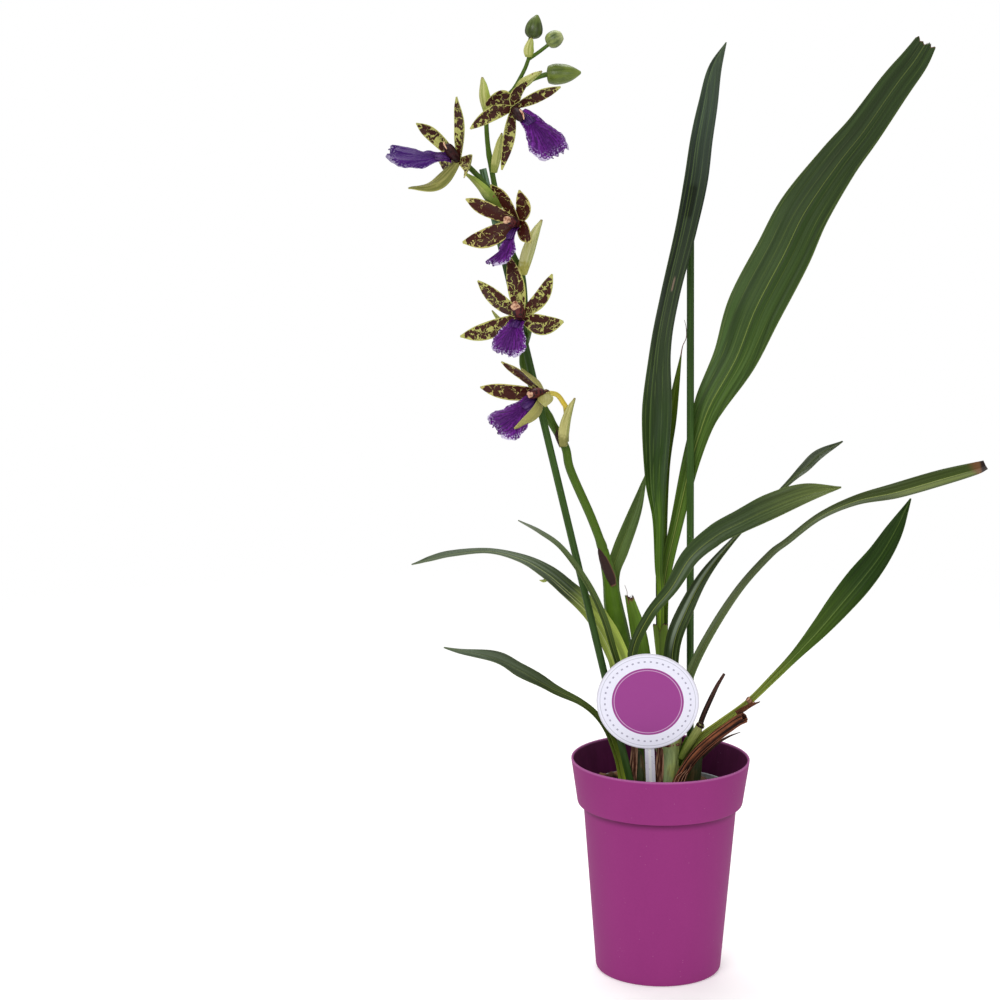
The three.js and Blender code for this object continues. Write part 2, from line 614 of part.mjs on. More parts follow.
// ---- Leaves ----
const leaves = {
  leaf_tall_left: {
    route: [
      [1, 3, 190], [1, 3, 265], [0, 2, 289], [1, 1, 322], [2, 0, 350], [5, -2, 397], [4, -4, 440],
      [9, -6, 475], [20, -8, 520], [27, -9, 553], [30, -10, 581], [33, -12, 605], [35, -13, 628],
      [38, -14, 646],
    ],
    widths: [8, 9, 11, 17, 30, 41, 29, 26, 29, 32, 30, 26, 18, 1],
    face: [-0.95, -0.3, 0],
    fold: 2.1,
    steps: 20,
  },
  leaf_tall_right: {
    route: [
      [1, 9, 190], [1, 10, 263], [3, 11, 286], [10, 14, 319], [18, 16, 356], [26, 18, 384],
      [33, 20, 402], [49, 26, 431], [62, 30, 465], [81, 36, 502], [95, 40, 531], [117, 48, 563],
      [135, 53, 586], [156, 61, 616], [169, 66, 633], [178, 70, 647],
    ],
    widths: [8, 8, 9, 10, 13, 17, 24, 33, 41, 41, 38, 31, 27, 24, 21, 16],
    face: [-0.35, -0.9, 0.2],
    fold: 0.16,
    ripple: 1,
    waves: 3,
    steps: 21,
  },
  leaf_small_back: {
    route: [[0, 14, 188], [-1, 16, 230], [-1, 17, 290], [0, 16, 354], [5, 14, 393], [11, 12, 435]],
    widths: [6, 6, 8, 9, 8, 1],
    face: [0, -1, 0],
    fold: 0.4,
    across: 3,
    steps: 12,
  },
  leaf_front_right: {
    route: [
      [-1, -11, 168], [-14, -13, 198], [-20, -17, 230], [-9, -20, 258], [6, -24, 279],
      [19, -30, 302], [36, -40, 319], [53, -52, 331], [70, -64, 342], [92, -78, 354],
      [115, -90, 362],
    ],
    widths: [7, 6, 7, 8, 10, 14, 18, 20, 22, 17, 1],
    face: [0.05, -0.75, 0.65],
    fold: 0.25,
    steps: 16,
  },
  leaf_mid_right: {
    route: [
      [7, -7, 182], [6, -8, 205], [6, -10, 236], [15, -12, 260], [30, -12, 287], [51, -6, 313],
      [70, 0, 332], [86, 6, 348], [97, 12, 357], [107, 16, 366], [123, 20, 375],
    ],
    widths: [10, 12, 14, 14, 10, 4, 4, 4, 8, 8, 1],
    face: [-0.3, -0.85, 0.4],
    fold: 0.45,
    steps: 16,
  },
  leaf_long_right: {
    route: [
      [11, -4, 176], [16, -6, 194], [21, -8, 217], [35, -6, 246], [54, 0, 275], [74, 6, 297],
      [86, 10, 306], [108, 17, 322], [133, 25, 332], [161, 34, 337], [193, 43, 345], [217, 49, 351],
      [225, 50, 354],
    ],
    widths: [7, 7, 8, 8, 8, 8, 7, 8, 9, 12, 12, 9, 5],
    face: [-0.2, -0.7, 0.7],
    fold: 0.3,
    across: 3,
    steps: 20,
  },
  leaf_far_right: {
    route: [
      [14, -9, 148], [18, -10, 158], [27, -12, 170], [41, -12, 181], [60, -14, 197], [76, -16, 214],
      [92, -18, 232], [108, -20, 251], [122, -21, 269], [135, -22, 286], [147, -23, 303],
      [157, -25, 322], [166, -28, 344],
    ],
    widths: [5, 6, 6, 6, 5, 6, 8, 14, 19, 21, 18, 13, 1],
    face: [-0.3, -0.85, 0.4],
    fold: 0.35,
    steps: 16,
  },
  leaf_upper_left: {
    route: [
      [-12, -3, 176], [-24, -4, 200], [-32, -3, 226], [-47, 3, 252], [-68, 12, 272], [-82, 18, 284],
      [-99, 26, 291], [-123, 38, 292], [-150, 48, 286], [-166, 54, 281], [-180, 60, 276],
    ],
    widths: [12, 16, 20, 20, 16, 14, 9, 6, 8, 7, 1],
    face: [0.25, -0.5, 0.8],
    fold: 0.3,
    steps: 17,
  },
  leaf_narrow_left: {
    route: [
      [-4, -7, 170], [-22, -14, 200], [-32, -19, 230], [-40, -23, 257], [-51, -28, 282],
      [-68, -36, 308], [-83, -43, 321], [-97, -50, 330],
    ],
    widths: [5, 6, 7, 8, 7, 6, 5, 1],
    face: [0.4, -0.7, 0.5],
    fold: 0.4,
    across: 3,
    steps: 14,
  },
  leaf_low_left: {
    route: [
      [-22, -12, 118], [-26, -14, 138], [-30, -15, 157], [-39, -18, 180], [-56, -24, 198],
      [-77, -31, 210], [-96, -38, 223], [-116, -45, 234], [-147, -56, 243],
    ],
    widths: [5, 6, 7, 6, 6, 7, 9, 7, 1],
    face: [0.3, -0.65, 0.7],
    fold: 0.3,
    across: 3,
    steps: 16,
  },
  leaf_back_left: {
    route: [
      [-14, 19, 188], [-27, 21.5, 228], [-34, 21, 262], [-35, 23, 280], [-30, 28, 296],
      [-20, 36, 322], [-12, 44, 347],
    ],
    widths: [9, 10, 10, 11, 13, 10, 1],
    face: [0.3, -0.95, 0],
    fold: 0.4,
    steps: 12,
  },
};
for (const [name, shape] of Object.entries(leaves)) {
  place(name, leafGreen, (grow) => blade(shape, grow));
}

// ---- Cut stubs, dry husks and a twig ----
const stubs = {
  stub_left: {
    material: paleGreen,
    route: [[-8, 2, 180], [-12, 2, 210], [-16, 2, 238], [-23, 2, 268]],
    widths: [10, 13, 12, 6],
    face: [-0.2, -1, 0],
  },
  stub_middle: {
    material: leafGreen,
    route: [[1, -4, 188], [0, -4, 215], [-1, -4, 250]],
    widths: [7, 7, 12],
    face: [0, -1, 0],
  },
  husk_right: {
    material: dryBrown,
    route: [[8, -22, 126], [16, -22, 148], [31, -22, 168], [59, -21, 190]],
    widths: [9, 10, 9, 7],
    face: [0.4, 0.8, -0.4],
  },
  husk_left: {
    material: dryBrown,
    route: [[-21, -14, 120], [-20, -15, 140], [-19, -14, 160]],
    widths: [7, 8, 3],
    face: [-0.3, -0.9, 0],
  },
};
for (const [name, { material, ...shape }] of Object.entries(stubs)) {
  place(name, material, (grow) => blade({ ...shape, fold: 0.6, across: 3, steps: 6 }, grow));
}

const sticks = {
  stub_right: {
    material: paleGreen,
    route: [[14.5, -12, 156], [18, -14, 164], [28, -16, 181]],
    radii: [2.8, 3.1, 2.8],
  },
  twig: {
    material: dryBrown,
    route: [[27, -6, 168], [30, -6, 186], [35, -5, 197], [44, -4, 214]],
    radii: [1.5, 1.4, 0.9],
  },
};
for (const [name, { material, ...shape }] of Object.entries(sticks)) {
  place(name, material, (grow) => stem({ ...shape, steps: 5 }, grow));
}

// The bark comes last, so that everything that stands in it has a plain hole.
place("bark", barkBrown, bark);

export default orchid;
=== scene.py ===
# %% [markdown]
# # A zygopetalum orchid in its pot
#
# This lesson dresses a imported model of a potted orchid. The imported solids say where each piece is.
# Here every leaf, tepal and pot gets a finer surface of its own and a finish to match.
#
# Each surface is a grid of points that numpy works out from two numbers, such as how far along a
# leaf and how far round its thin section. Shapes are written in millimetres, as a grower measures
# a plant, and they become metres when they are put into a mesh.

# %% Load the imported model
import bpy
import numpy as np
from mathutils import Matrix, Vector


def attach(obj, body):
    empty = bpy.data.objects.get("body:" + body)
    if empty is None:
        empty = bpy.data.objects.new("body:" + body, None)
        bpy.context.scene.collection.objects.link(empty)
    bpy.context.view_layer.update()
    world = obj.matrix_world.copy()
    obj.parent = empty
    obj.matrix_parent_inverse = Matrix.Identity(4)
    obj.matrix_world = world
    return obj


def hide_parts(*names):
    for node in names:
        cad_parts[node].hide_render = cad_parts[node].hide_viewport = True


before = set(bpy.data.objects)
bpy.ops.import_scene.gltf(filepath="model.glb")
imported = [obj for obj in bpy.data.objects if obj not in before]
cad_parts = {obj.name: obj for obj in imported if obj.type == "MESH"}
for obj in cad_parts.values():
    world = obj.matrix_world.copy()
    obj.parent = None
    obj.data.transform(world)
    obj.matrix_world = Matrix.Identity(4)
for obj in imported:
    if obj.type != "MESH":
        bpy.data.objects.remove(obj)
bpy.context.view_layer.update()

# %% [markdown]
# ## The camera
#
# A product picture of a tall plant is taken from a little above the middle of the plant, with a
# long lens, so that the pot doesn't look smaller than it is. A camera 1.7 m away with a 92 mm lens
# gives that flat, calm view.

# %% Camera
DISTANCE, HEIGHT = 1.740, 0.650  # metres in front of the pot's middle, and above the floor
DOWN, LEFT = 10.25, 3.7  # degrees
camera = bpy.data.objects.new("camera", bpy.data.cameras.new("camera"))
camera.location = (0, -DISTANCE, HEIGHT)
camera.rotation_euler = np.radians((90 - DOWN, 0, LEFT))
camera.data.lens, camera.data.sensor_width = 92.376, 36
bpy.context.scene.collection.objects.link(camera)
bpy.context.scene.camera = camera
print("camera:", tuple(camera.location), "lens", camera.data.lens)

# %% [markdown]
# ## Curves
#
# Leaves and stems grow along smooth curves. A curve could be a Blender curve object, but then its
# points would be out of reach for numpy. Here it is a function: a few points that the growth
# passes through, and a number from 0 to 1 that says where on it a point lies.

# %% Smooth curves through points
HAIR = 1e-4  # a step along a curve that is short enough to show its direction
SAMPLES = 400  # places at which a curve is measured


def curve(points, place):
    """Points on a smooth line. Between two given points, the line is the cubic that leaves and
    arrives with half the difference of the points on either side. place runs from 0 to 1 and is
    shared evenly between the given points."""
    points = np.asarray(points, float)
    padded = np.vstack([2 * points[0] - points[1], points, 2 * points[-1] - points[-2]])
    where = np.clip(np.asarray(place) * (len(points) - 1), 0, len(points) - 1 - 1e-9)
    step = where.astype(int)
    t = (where - step)[..., None]
    before, start, end, after = (padded[step + k] for k in range(4))
    leave, arrive = (end - before) / 2, (after - start) / 2
    bend = 3 * (end - start) - 2 * leave - arrive
    return start + t * leave + t**2 * bend + t**3 * (2 * (start - end) + leave + arrive)


def along(values, place):
    """A number that changes smoothly along a piece, from a few values at even steps."""
    if np.isscalar(values):
        return np.full(np.shape(place), float(values))
    return curve(np.asarray(values, float)[:, None], place)[..., 0]


def ring(count):
    """Even angles round one full turn."""
    return np.linspace(0, 2 * np.pi, count, endpoint=False)


def unit(arrows):
    """Arrows of length one, in the same directions."""
    return arrows / np.linalg.norm(arrows, axis=-1, keepdims=True)


def heading(points, place):
    """The direction of the curve: from a hair before the place to a hair after it."""
    after = curve(points, np.minimum(place + HAIR, 1))
    return unit(after - curve(points, np.maximum(place - HAIR, 0)))


def reach(points):
    """Places on a curve, and how many millimetres of it lie before each of them."""
    place = np.linspace(0, 1, SAMPLES)
    steps = np.linalg.norm(np.diff(curve(points, place), axis=0), axis=1)
    return place, np.concatenate([[0], np.cumsum(steps)])


# %% [markdown]
# ## Closed skins
#
# Every piece is a closed skin, so that it has an inside and can be printed or weighed. Rings of
# points follow one another along the piece, and each end is closed: a round end by a point in its
# middle, a flat leaf end by a strip between its two sides. The points also carry marks, which the
# finishes read: how far across and along a point lies, as a share and in metres.

# %% From rings of points to a mesh
MM = 0.001


def skin(rings, marks, flat=False):
    """A closed skin from a grid of points. Row i is the ring at step i along the piece, and its
    last point joins its first. marks holds three numbers for each point, under each name."""
    steps, around = rings.shape[:2]
    i, j = np.meshgrid(np.arange(steps - 1), np.arange(around), indexing="ij")
    here, beside = i * around + j, i * around + (j + 1) % around
    sides = np.stack([here, beside, beside + around, here + around], -1).reshape(-1, 4)
    points = rings.reshape(-1, 3)
    marks = {name: np.broadcast_to(mark, rings.shape).reshape(-1, 3)
             for name, mark in marks.items()}
    last = (steps - 1) * around
    if flat:
        j = np.arange(1, around // 2 - 1)
        strip = np.stack([j + 1, j, around - j, around - j - 1], -1)
        half = around // 2
        corners = np.array([[1, 0, around - 1], [half, half - 1, half + 1]])
        quads = np.vstack([sides, strip, strip[:, ::-1] + last])
        triangles = np.vstack([corners, corners[:, ::-1] + last])
    else:
        j = np.arange(around)
        beside = (j + 1) % around
        foot, tip = np.full(around, len(points)), np.full(around, len(points) + 1)
        quads = sides
        triangles = np.vstack([np.stack([beside, j, foot], -1),
                               np.stack([j + last, beside + last, tip], -1)])
        ends = lambda grid: np.vstack([grid, grid[:around].mean(0), grid[last:].mean(0)])
        marks = {name: ends(mark) for name, mark in marks.items()}
        points = ends(points)
    volume = 0
    for faces in (triangles, quads[:, (0, 1, 2)], quads[:, (0, 2, 3)]):
        a, b, c = points[faces].transpose(1, 0, 2)
        volume += (a * np.cross(b, c)).sum()
    if volume < 0:  # the faces point inwards
        quads, triangles = quads[:, ::-1], triangles[:, ::-1]
    return points, quads, triangles, marks


def build(name, skins, finish, slot, *nodes):
    """Joins skins into one piece in metres, gives it its finish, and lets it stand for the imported
    node, if it has one. It rides on the plant's only body."""
    starts = np.cumsum([0] + [len(points) for points, *_ in skins])
    points = np.vstack([skin[0] for skin in skins]) * MM
    faces = [*np.vstack([quads + at for (_, quads, _, _), at in zip(skins, starts)]).tolist(),
             *np.vstack([tris + at for (_, _, tris, _), at in zip(skins, starts)]).tolist()]
    mesh = bpy.data.meshes.new(name)
    mesh.from_pydata(points, [], faces)
    mesh.polygons.foreach_set("use_smooth", np.ones(len(faces), bool))
    for mark in skins[0][3]:
        column = mesh.attributes.new(mark, "FLOAT_VECTOR", "POINT")
        column.data.foreach_set("vector", np.vstack([skin[3][mark] for skin in skins]).ravel())
    mesh.materials.append(finish.material)
    piece = bpy.data.objects.new(name, mesh)
    bpy.context.scene.collection.objects.link(piece)
    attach(piece, "root")
    if nodes:
        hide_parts(*nodes)
    print(name, len(faces), "faces")
    return piece


# %% [markdown]
# ## Blades, stems and turned shapes
#
# Three kinds of grid make nearly the whole plant. A blade is a thin strip along a curve: leaves,
# tepals, bracts and dry husks. A stem is a round section carried along a curve. A turned shape is
# a profile spun round the middle, as on a potter's wheel.

# %% Blade
FOLD_POWER, EDGE_POWER, KEEL_WIDTH = 1.4, 0.4, 0.09
FOLDED_FROM, PLEATED_FROM = 3, 6  # half widths, in mm, at which fold and pleats are full
NUDGE = 0.01  # a step across a blade that is short enough to show its slope


def blade(route, widths, face, fold=0, ripple=0, waves=0, phase=0, thickness=0.6, steps=150,
          around=44, pleat=0, pleats=3, keel=0, end=None, shape=None, outline=None):
    """A thin strip with its upper side towards face. At u across it, from -1 to 1, the section is
    x = u and y = fold |u|^1.4, drawn in so that the strip keeps its width. A ripple lifts the
    margins by a sine of the way along, pleats are cosines across, and the keel is a narrow dip in
    the middle. end(u) says how far each line of the strip runs before it is torn or cut,
    shape(u, v) adds a lift of its own, and outline(u, v) makes the strip wider or narrower. The
    section is wrapped by a ring: the angle round it gives u as its cosine, and the upper or lower
    side by the sign of its sine."""
    turn = ring(around)
    u = np.broadcast_to(np.cos(turn), (steps + 1, around))
    v = np.linspace(0, 1, steps + 1)[:, None] * (np.ones_like(u) if end is None else end(u))
    ahead = heading(route, v)
    up = np.asarray(face, float) - ahead * (ahead @ np.asarray(face, float))[..., None]
    up = unit(up)
    side = np.cross(up, ahead)
    half = along(widths, v) / 2
    steep = fold * np.minimum(1, half / FOLDED_FROM)
    shrink = half / np.hypot(1, steep) * (1 if outline is None else outline(u, v))
    wave = ripple * np.sin(2 * np.pi * waves * v + phase * np.sign(u)) * v
    narrow = np.clip(half / PLEATED_FROM, 0, 1)

    def lift(u):
        folds = (pleat * np.cos(2 * np.pi * pleats * u) * (1 - u**2)
                 - keel * np.exp(-((u / KEEL_WIDTH) ** 2)))
        own = shape(u, v) if shape else 0
        return steep * np.abs(u) ** FOLD_POWER * shrink + wave * u**2 + narrow * folds + own

    rise = lift(np.minimum(u + NUDGE, 1)) - lift(np.maximum(u - NUDGE, -1))
    slope = rise / (2 * NUDGE * shrink + 1e-6)
    flat = np.hypot(1, slope)
    wall = thickness / 2 * np.sign(np.sin(turn)) * np.abs(np.sin(turn)) ** EDGE_POWER
    x, y = u * shrink - wall * slope / flat, lift(u) + wall / flat
    rings = curve(route, v) + side * x[..., None] + up * y[..., None]
    places, lengths = reach(route)
    run = np.interp(v, places, lengths)
    side_up = np.clip(np.sin(turn) * 6, -1, 1) + 0 * u
    left = 1 - np.linspace(0, 1, steps + 1)[:, None] + 0 * u
    marks = {
        "share": np.stack([u, v, side_up], -1),
        "metres": np.stack([u * half * MM, run * MM, left], -1),
    }
    return skin(rings, marks, flat=True)


# %% Stem
END_RINGS, HOLLOW_RINGS, WALL = 7, 8, 0.7


def stem(route, radii, steps=40, sides=20, swell=None, tips=(0, 0), hollow=0):
    """A round section along a curve. The rings stand at even lengths, square to the curve, and are
    turned by one fixed direction, the axis that the curve leans on least. swell(angle, share)
    makes the section thicker or thinner, and tips are the lengths over which the ends round off,
    as a quarter of a circle. A hollow stem turns back inside itself for that many millimetres."""
    places, lengths = reach(route)
    share = np.linspace(0, 1, steps + 1)
    bow = 1 - np.cos(np.linspace(0, np.pi / 2, END_RINGS))
    if tips[0]:
        share = np.concatenate([share, bow * tips[0] / lengths[-1]])
    if tips[1]:
        share = np.concatenate([share, 1 - bow * tips[1] / lengths[-1]])
    share = np.unique(share)[:, None]
    back = np.linspace(1, 1 - hollow / lengths[-1], HOLLOW_RINGS)[:, None]
    share = np.vstack([share, back]) if hollow else share
    v = np.interp(share, lengths / lengths[-1], places)
    centre, ahead = curve(route, v), heading(route, v)
    axis = np.eye(3)[np.abs(ahead.reshape(-1, 3)).max(0).argmin()]
    side = unit(np.cross(axis, ahead))
    up = np.cross(ahead, side)
    turn = ring(sides)
    radius = along(radii, share) * (1 if swell is None else swell(turn, share)) + 0 * turn
    for tip, left in zip(tips, (share, 1 - share)):
        if tip:
            short = 1 - np.clip(left * lengths[-1] / tip, 0, 1)
            radius = radius * np.sqrt(np.clip(1 - short**2, 0.02, 1))
    if hollow:
        radius[-HOLLOW_RINGS:] -= WALL
    out = side * np.cos(turn)[..., None] + up * np.sin(turn)[..., None]
    rings = centre + radius[..., None] * out
    run = np.broadcast_to(share * lengths[-1] * MM, radius.shape)
    marks = {
        "share": np.stack(np.broadcast_arrays(np.cos(turn), share, np.sin(turn)), -1),
        "metres": np.stack([radius * np.cos(turn) * MM, run, radius * np.sin(turn) * MM], -1),
    }
    return skin(rings, marks)


# %% Turned shape
LONGEST_STEP = 4  # millimetres


def rounded(corners):
    """A profile from corners (radius, height, rounding). Each corner becomes a parabola that starts
    and ends that many millimetres from it, and long runs are divided every 4 mm."""
    corners = [np.array(corner, float) for corner in corners]
    path = [corners[0][:2]]
    t = np.linspace(0, 1, 7)[:, None]
    for before, corner, after in zip(corners, corners[1:], corners[2:]):
        at, soft = corner[:2], corner[2]
        start = at + unit(before[:2] - at) * soft
        end = at + unit(after[:2] - at) * soft
        path.extend((1 - t) ** 2 * start + 2 * t * (1 - t) * at + t**2 * end)
    path = np.array([*path, corners[-1][:2]])
    gaps = np.linalg.norm(np.diff(path, axis=0), axis=1)
    counts = np.maximum(1, np.ceil(gaps / LONGEST_STEP)).astype(int)
    parts = [a + (b - a) * np.arange(n)[:, None] / n for a, b, n in zip(path, path[1:], counts)]
    return np.vstack([*parts, path[-1:]])


def turned(corners, sides):
    """A rounded profile spun round the upright axis."""
    path = rounded(corners)
    turn = ring(sides)
    radius, height = np.broadcast_arrays(np.maximum(path[:, :1], 0.02), path[:, 1:] + 0 * turn)
    rings = np.stack([radius * np.cos(turn), radius * np.sin(turn), height], -1)
    share = np.linspace(0, 1, len(path))[:, None] + 0 * turn
    marks = {
        "share": np.stack([np.cos(turn) + 0 * share, share, np.sin(turn) + 0 * share], -1),
        "metres": rings * MM,
    }
    return skin(rings, marks)


# %% [markdown]
# ## Finishes as sums
#
# A finish is a web of shader nodes, and a web drawn by hand is hard to read again. Here a socket
# is wrapped in a small class, so that `1 - mask * 0.5` adds the Math nodes that work it out. One
# method adds any other node from its kind, its settings and its sockets.

# %% Wires and finishes
class Wire:
    """One output of a finish's nodes. Arithmetic on wires adds Math nodes."""

    def __init__(self, finish, socket):
        self.finish, self.socket = finish, socket

    def math(self, operation, *others):
        return self.finish.node("Math", {"operation": operation}, dict(enumerate([self, *others])))

    __add__ = __radd__ = lambda self, other: self.math("ADD", other)
    __mul__ = __rmul__ = lambda self, other: self.math("MULTIPLY", other)
    __sub__ = lambda self, other: self.math("SUBTRACT", other)
    __rsub__ = lambda self, other: self * -1 + other
    __pow__ = lambda self, other: self.math("POWER", other)
    __abs__ = lambda self: self.math("ABSOLUTE")
    sine = lambda self: self.math("SINE")

    def rise(self, low, high):
        """0 below low, 1 above high, and a smooth step between them."""
        return self.finish.node("MapRange", {"interpolation_type": "SMOOTHSTEP"},
                                {0: self, 1: low, 2: high, 3: 0.0, 4: 1.0})

    def fall(self, low, high):
        """1 below low, 0 above high."""
        return 1 - self.rise(low, high)

    def between(self, start, full, ebb, end):
        """A band: 0 before start, 1 from full to ebb, and 0 again after end."""
        return self.rise(start, full) * self.fall(ebb, end)

    def tint(self, mask, colour):
        """This colour where the mask is 0, and the given one where it is 1."""
        return self.finish.mix(mask, self, colour)


class Finish:
    """A procedural material. Numbers that are the same all over go on the shader's own sockets."""

    def __init__(self, name, **numbers):
        self.material = bpy.data.materials.new(name)
        self.material.use_nodes = True
        self.tree = self.material.node_tree
        self.shader = self.tree.nodes["Principled BSDF"]
        for socket, value in numbers.items():
            self.shader.inputs[socket.replace("_", " ")].default_value = value

    def node(self, kind, settings, sockets, output=0):
        made = self.tree.nodes.new("ShaderNode" + kind)
        for setting, value in settings.items():
            setattr(made, setting, value)
        for socket, value in sockets.items():
            if isinstance(value, Wire):
                self.tree.links.new(value.socket, made.inputs[socket])
            else:
                made.inputs[socket].default_value = value
        return Wire(self, made.outputs[output])

    def parts(self, vector):
        """The three numbers of a vector."""
        split = self.node("SeparateXYZ", {}, {0: vector}).socket.node
        return [Wire(self, socket) for socket in split.outputs]

    def mark(self, name):
        """The three numbers that each point carries under this name."""
        return self.parts(self.node("Attribute", {"attribute_name": name}, {}, output=1))

    def place(self):
        """Where a point is, in metres."""
        return self.node("TexCoord", {}, {}, output=3)

    def vector(self, x, y=0.0, z=0.0):
        return self.node("CombineXYZ", {}, {0: x, 1: y, 2: z})

    def stretch(self, vector, factors):
        return self.node("VectorMath", {"operation": "MULTIPLY"}, {0: vector, 1: factors})

    def noise(self, vector, scale=1.0, detail=2.0, roughness=0.5):
        return self.node("TexNoise", {}, {"Vector": vector, "Scale": scale, "Detail": detail,
                                          "Roughness": roughness})

    def strands(self, across, along, detail=3, roughness=0.5, of="metres"):
        """Noise drawn out along a piece, with this many bumps to a metre across it and along it.
        Across it, the round marks of a stem can stand in for metres."""
        side, _, depth = self.mark(of)
        _, length, _ = self.mark("metres")
        vector = self.vector(side * across, length * along, depth * across)
        return self.noise(vector, 1, detail, roughness)

    def cells(self, vector, scale, feature):
        return self.node("TexVoronoi", {"feature": feature}, {"Vector": vector, "Scale": scale})

    def mix(self, mask, first, second):
        """The first colour where the mask is 0, and the second where it is 1."""
        first, second = (dye(tone) if isinstance(tone, str) else tone for tone in (first, second))
        return self.node("Mix", {"data_type": "RGBA"}, {0: mask, 6: first, 7: second}, output=2)

    def ramp(self, place, colours):
        """Colours at even steps from 0 to 1, blended in between."""
        made = self.node("ValToRGB", {}, {0: place})
        stops = made.socket.node.color_ramp.elements
        while len(stops) < len(colours):
            stops.new(1.0)
        for k, colour in enumerate(colours):
            stops[k].position, stops[k].color = k / (len(colours) - 1), dye(colour)
        return made

    def coat(self, colour=None, roughness=None, relief=None, depth=0.0002):
        """Joins a colour, a roughness and a height, in shares of depth, to the shader."""
        for socket, wire in (("Base Color", colour), ("Roughness", roughness)):
            if wire is not None:
                self.tree.links.new(wire.socket, self.shader.inputs[socket])
        if relief is not None:
            bump = self.node("Bump", {}, {"Strength": 1.0, "Distance": depth, "Height": relief})
            self.tree.links.new(bump.socket, self.shader.inputs["Normal"])
        return self


def dye(text):
    """A colour as web pages write it, such as #963a7a, in the linear numbers of a shader."""
    share = np.array([int(text[k:k + 2], 16) for k in (1, 3, 5)]) / 255
    line = np.where(share <= 0.04045, share / 12.92, ((share + 0.055) / 1.055) ** 2.4)
    return (*line.tolist(), 1.0)


# %% [markdown]
# ## Floor and light
#
# The plant stands on a plain pale floor in soft light from all round, as in a light tent. A big
# soft lamp at the front left gives the leaves their shape, a weaker one at the right fills in, and
# two tall soft lamps at the sides draw the pale edges that smooth plastic has. The floor is a disc
# that fades into the white room towards its rim.

# %% Floor
FLOOR_RADIUS = 1.6
floor_finish = Finish("floor_white", Roughness=0.9, Emission_Strength=0.3)
floor_finish.shader.inputs["Emission Color"].default_value = (1, 1, 1, 1)
across, depth, _ = floor_finish.parts(floor_finish.place())
fade = ((across**2 + depth**2) ** 0.5).rise(0.35, 1.5)
grain = floor_finish.noise(floor_finish.place(), 60)
floor_finish.coat(floor_finish.mix(grain, "#f1f0ee", "#f6f5f4"))
clear = floor_finish.node("BsdfTransparent", {}, {})
solid = Wire(floor_finish, floor_finish.shader.outputs[0])
mixed = floor_finish.node("MixShader", {}, {0: fade, 1: solid, 2: clear})
output = floor_finish.tree.nodes["Material Output"]
floor_finish.tree.links.new(mixed.socket, output.inputs["Surface"])

turn = ring(96)
floor_mesh = bpy.data.meshes.new("floor")
circle = np.stack([np.cos(turn), np.sin(turn), 0 * turn], -1)
floor_mesh.from_pydata(FLOOR_RADIUS * circle, [], [range(96)])
floor_mesh.materials.append(floor_finish.material)
floor = bpy.data.objects.new("floor", floor_mesh)
bpy.context.scene.collection.objects.link(floor)
print("floor: a disc", 2 * FLOOR_RADIUS, "m wide")

# %% Light
bpy.context.scene.view_settings.view_transform = "Standard"
room = bpy.data.worlds.new("room")
room.use_nodes = True
light, sky = room.node_tree.nodes["Background"], room.node_tree.nodes.new("ShaderNodeBackground")
for shade, strength in ((light, 0.33), (sky, 1.0)):
    shade.inputs[0].default_value, shade.inputs[1].default_value = (1, 1, 1, 1), strength
seen = room.node_tree.nodes.new("ShaderNodeLightPath")
choose = room.node_tree.nodes.new("ShaderNodeMixShader")
for start, end in ((seen.outputs[0], choose.inputs[0]), (light.outputs[0], choose.inputs[1]),
                   (sky.outputs[0], choose.inputs[2]),
                   (choose.outputs[0], room.node_tree.nodes["World Output"].inputs[0])):
    room.node_tree.links.new(start, end)
bpy.context.scene.world = room


def lamp(name, place, target, size, power):
    """A soft lamp of this width and height in metres, turned towards its target."""
    made = bpy.data.lights.new(name, "AREA")
    made.shape, (made.size, made.size_y), made.energy = "RECTANGLE", size, power
    held = bpy.data.objects.new(name, made)
    held.location = place
    aim = Vector(target) - Vector(place)
    held.rotation_euler = aim.to_track_quat("-Z", "Y").to_euler()
    bpy.context.scene.collection.objects.link(held)


lamp("lamp_front", (-0.8, -2.1, 1.7), (0, 0, 0.3), (1.3, 1.2), 30)
lamp("lamp_fill", (1.1, -2.0, 0.9), (0, 0, 0.3), (1.0, 1.4), 12)
lamp("lamp_left", (-1.6, 0.2, 0.7), (0, 0, 0.35), (0.4, 1.5), 4)
lamp("lamp_right", (1.6, 0.3, 0.7), (0, 0, 0.35), (0.4, 1.5), 4)
lamp("lamp_top", (-0.2, 0.7, 1.9), (0, 0, 0.3), (1.4, 1.0), 22)

# %% [markdown]
# ## The cover pot
#
# The cover pot is moulded from thin purple plastic: a tapering body, a collar that steps out to
# hold the rim of the pot inside, and a rolled lip. It could be a solid with a hollow cut out, but
# a profile that goes up the outside and down the inside gives the same wall in one turned skin.
# The plastic is matte, with the fine cloudy grain of the mould and a few pale specks of dust.
# The inside is painted dark as shade, with faint streaks down it. A band under the collar is a
# painted shadow, and a paler line along the rolled lip is a painted highlight.

# %% Pot plastic
ROLLED_LIP = (0.1512, 0.1526, 0.1532, 0.154)  # metres above the floor
# heights, in metres, of a painted shadow under the collar
COLLAR_SHADOW_BAND = (0.1145, 0.1200, 0.1206, 0.1214)
pot_plastic = Finish("pot_plastic", Specular_IOR_Level=0.1)
where = pot_plastic.place()
cloud = pot_plastic.noise(where, 900, 4, 0.65)
wide = pot_plastic.noise(pot_plastic.stretch(where, (1, 1, 0.35)), 22, 3)
streak = pot_plastic.noise(pot_plastic.stretch(where, (1, 1, 0.04)), 260, 3, 0.7)
_, height, _ = pot_plastic.mark("share")
_, _, z = pot_plastic.parts(where)
inside = height.rise(0.535, 0.545)
outer = pot_plastic.mix(cloud * 0.55 + wide * 0.45, "#802a69", "#943479")
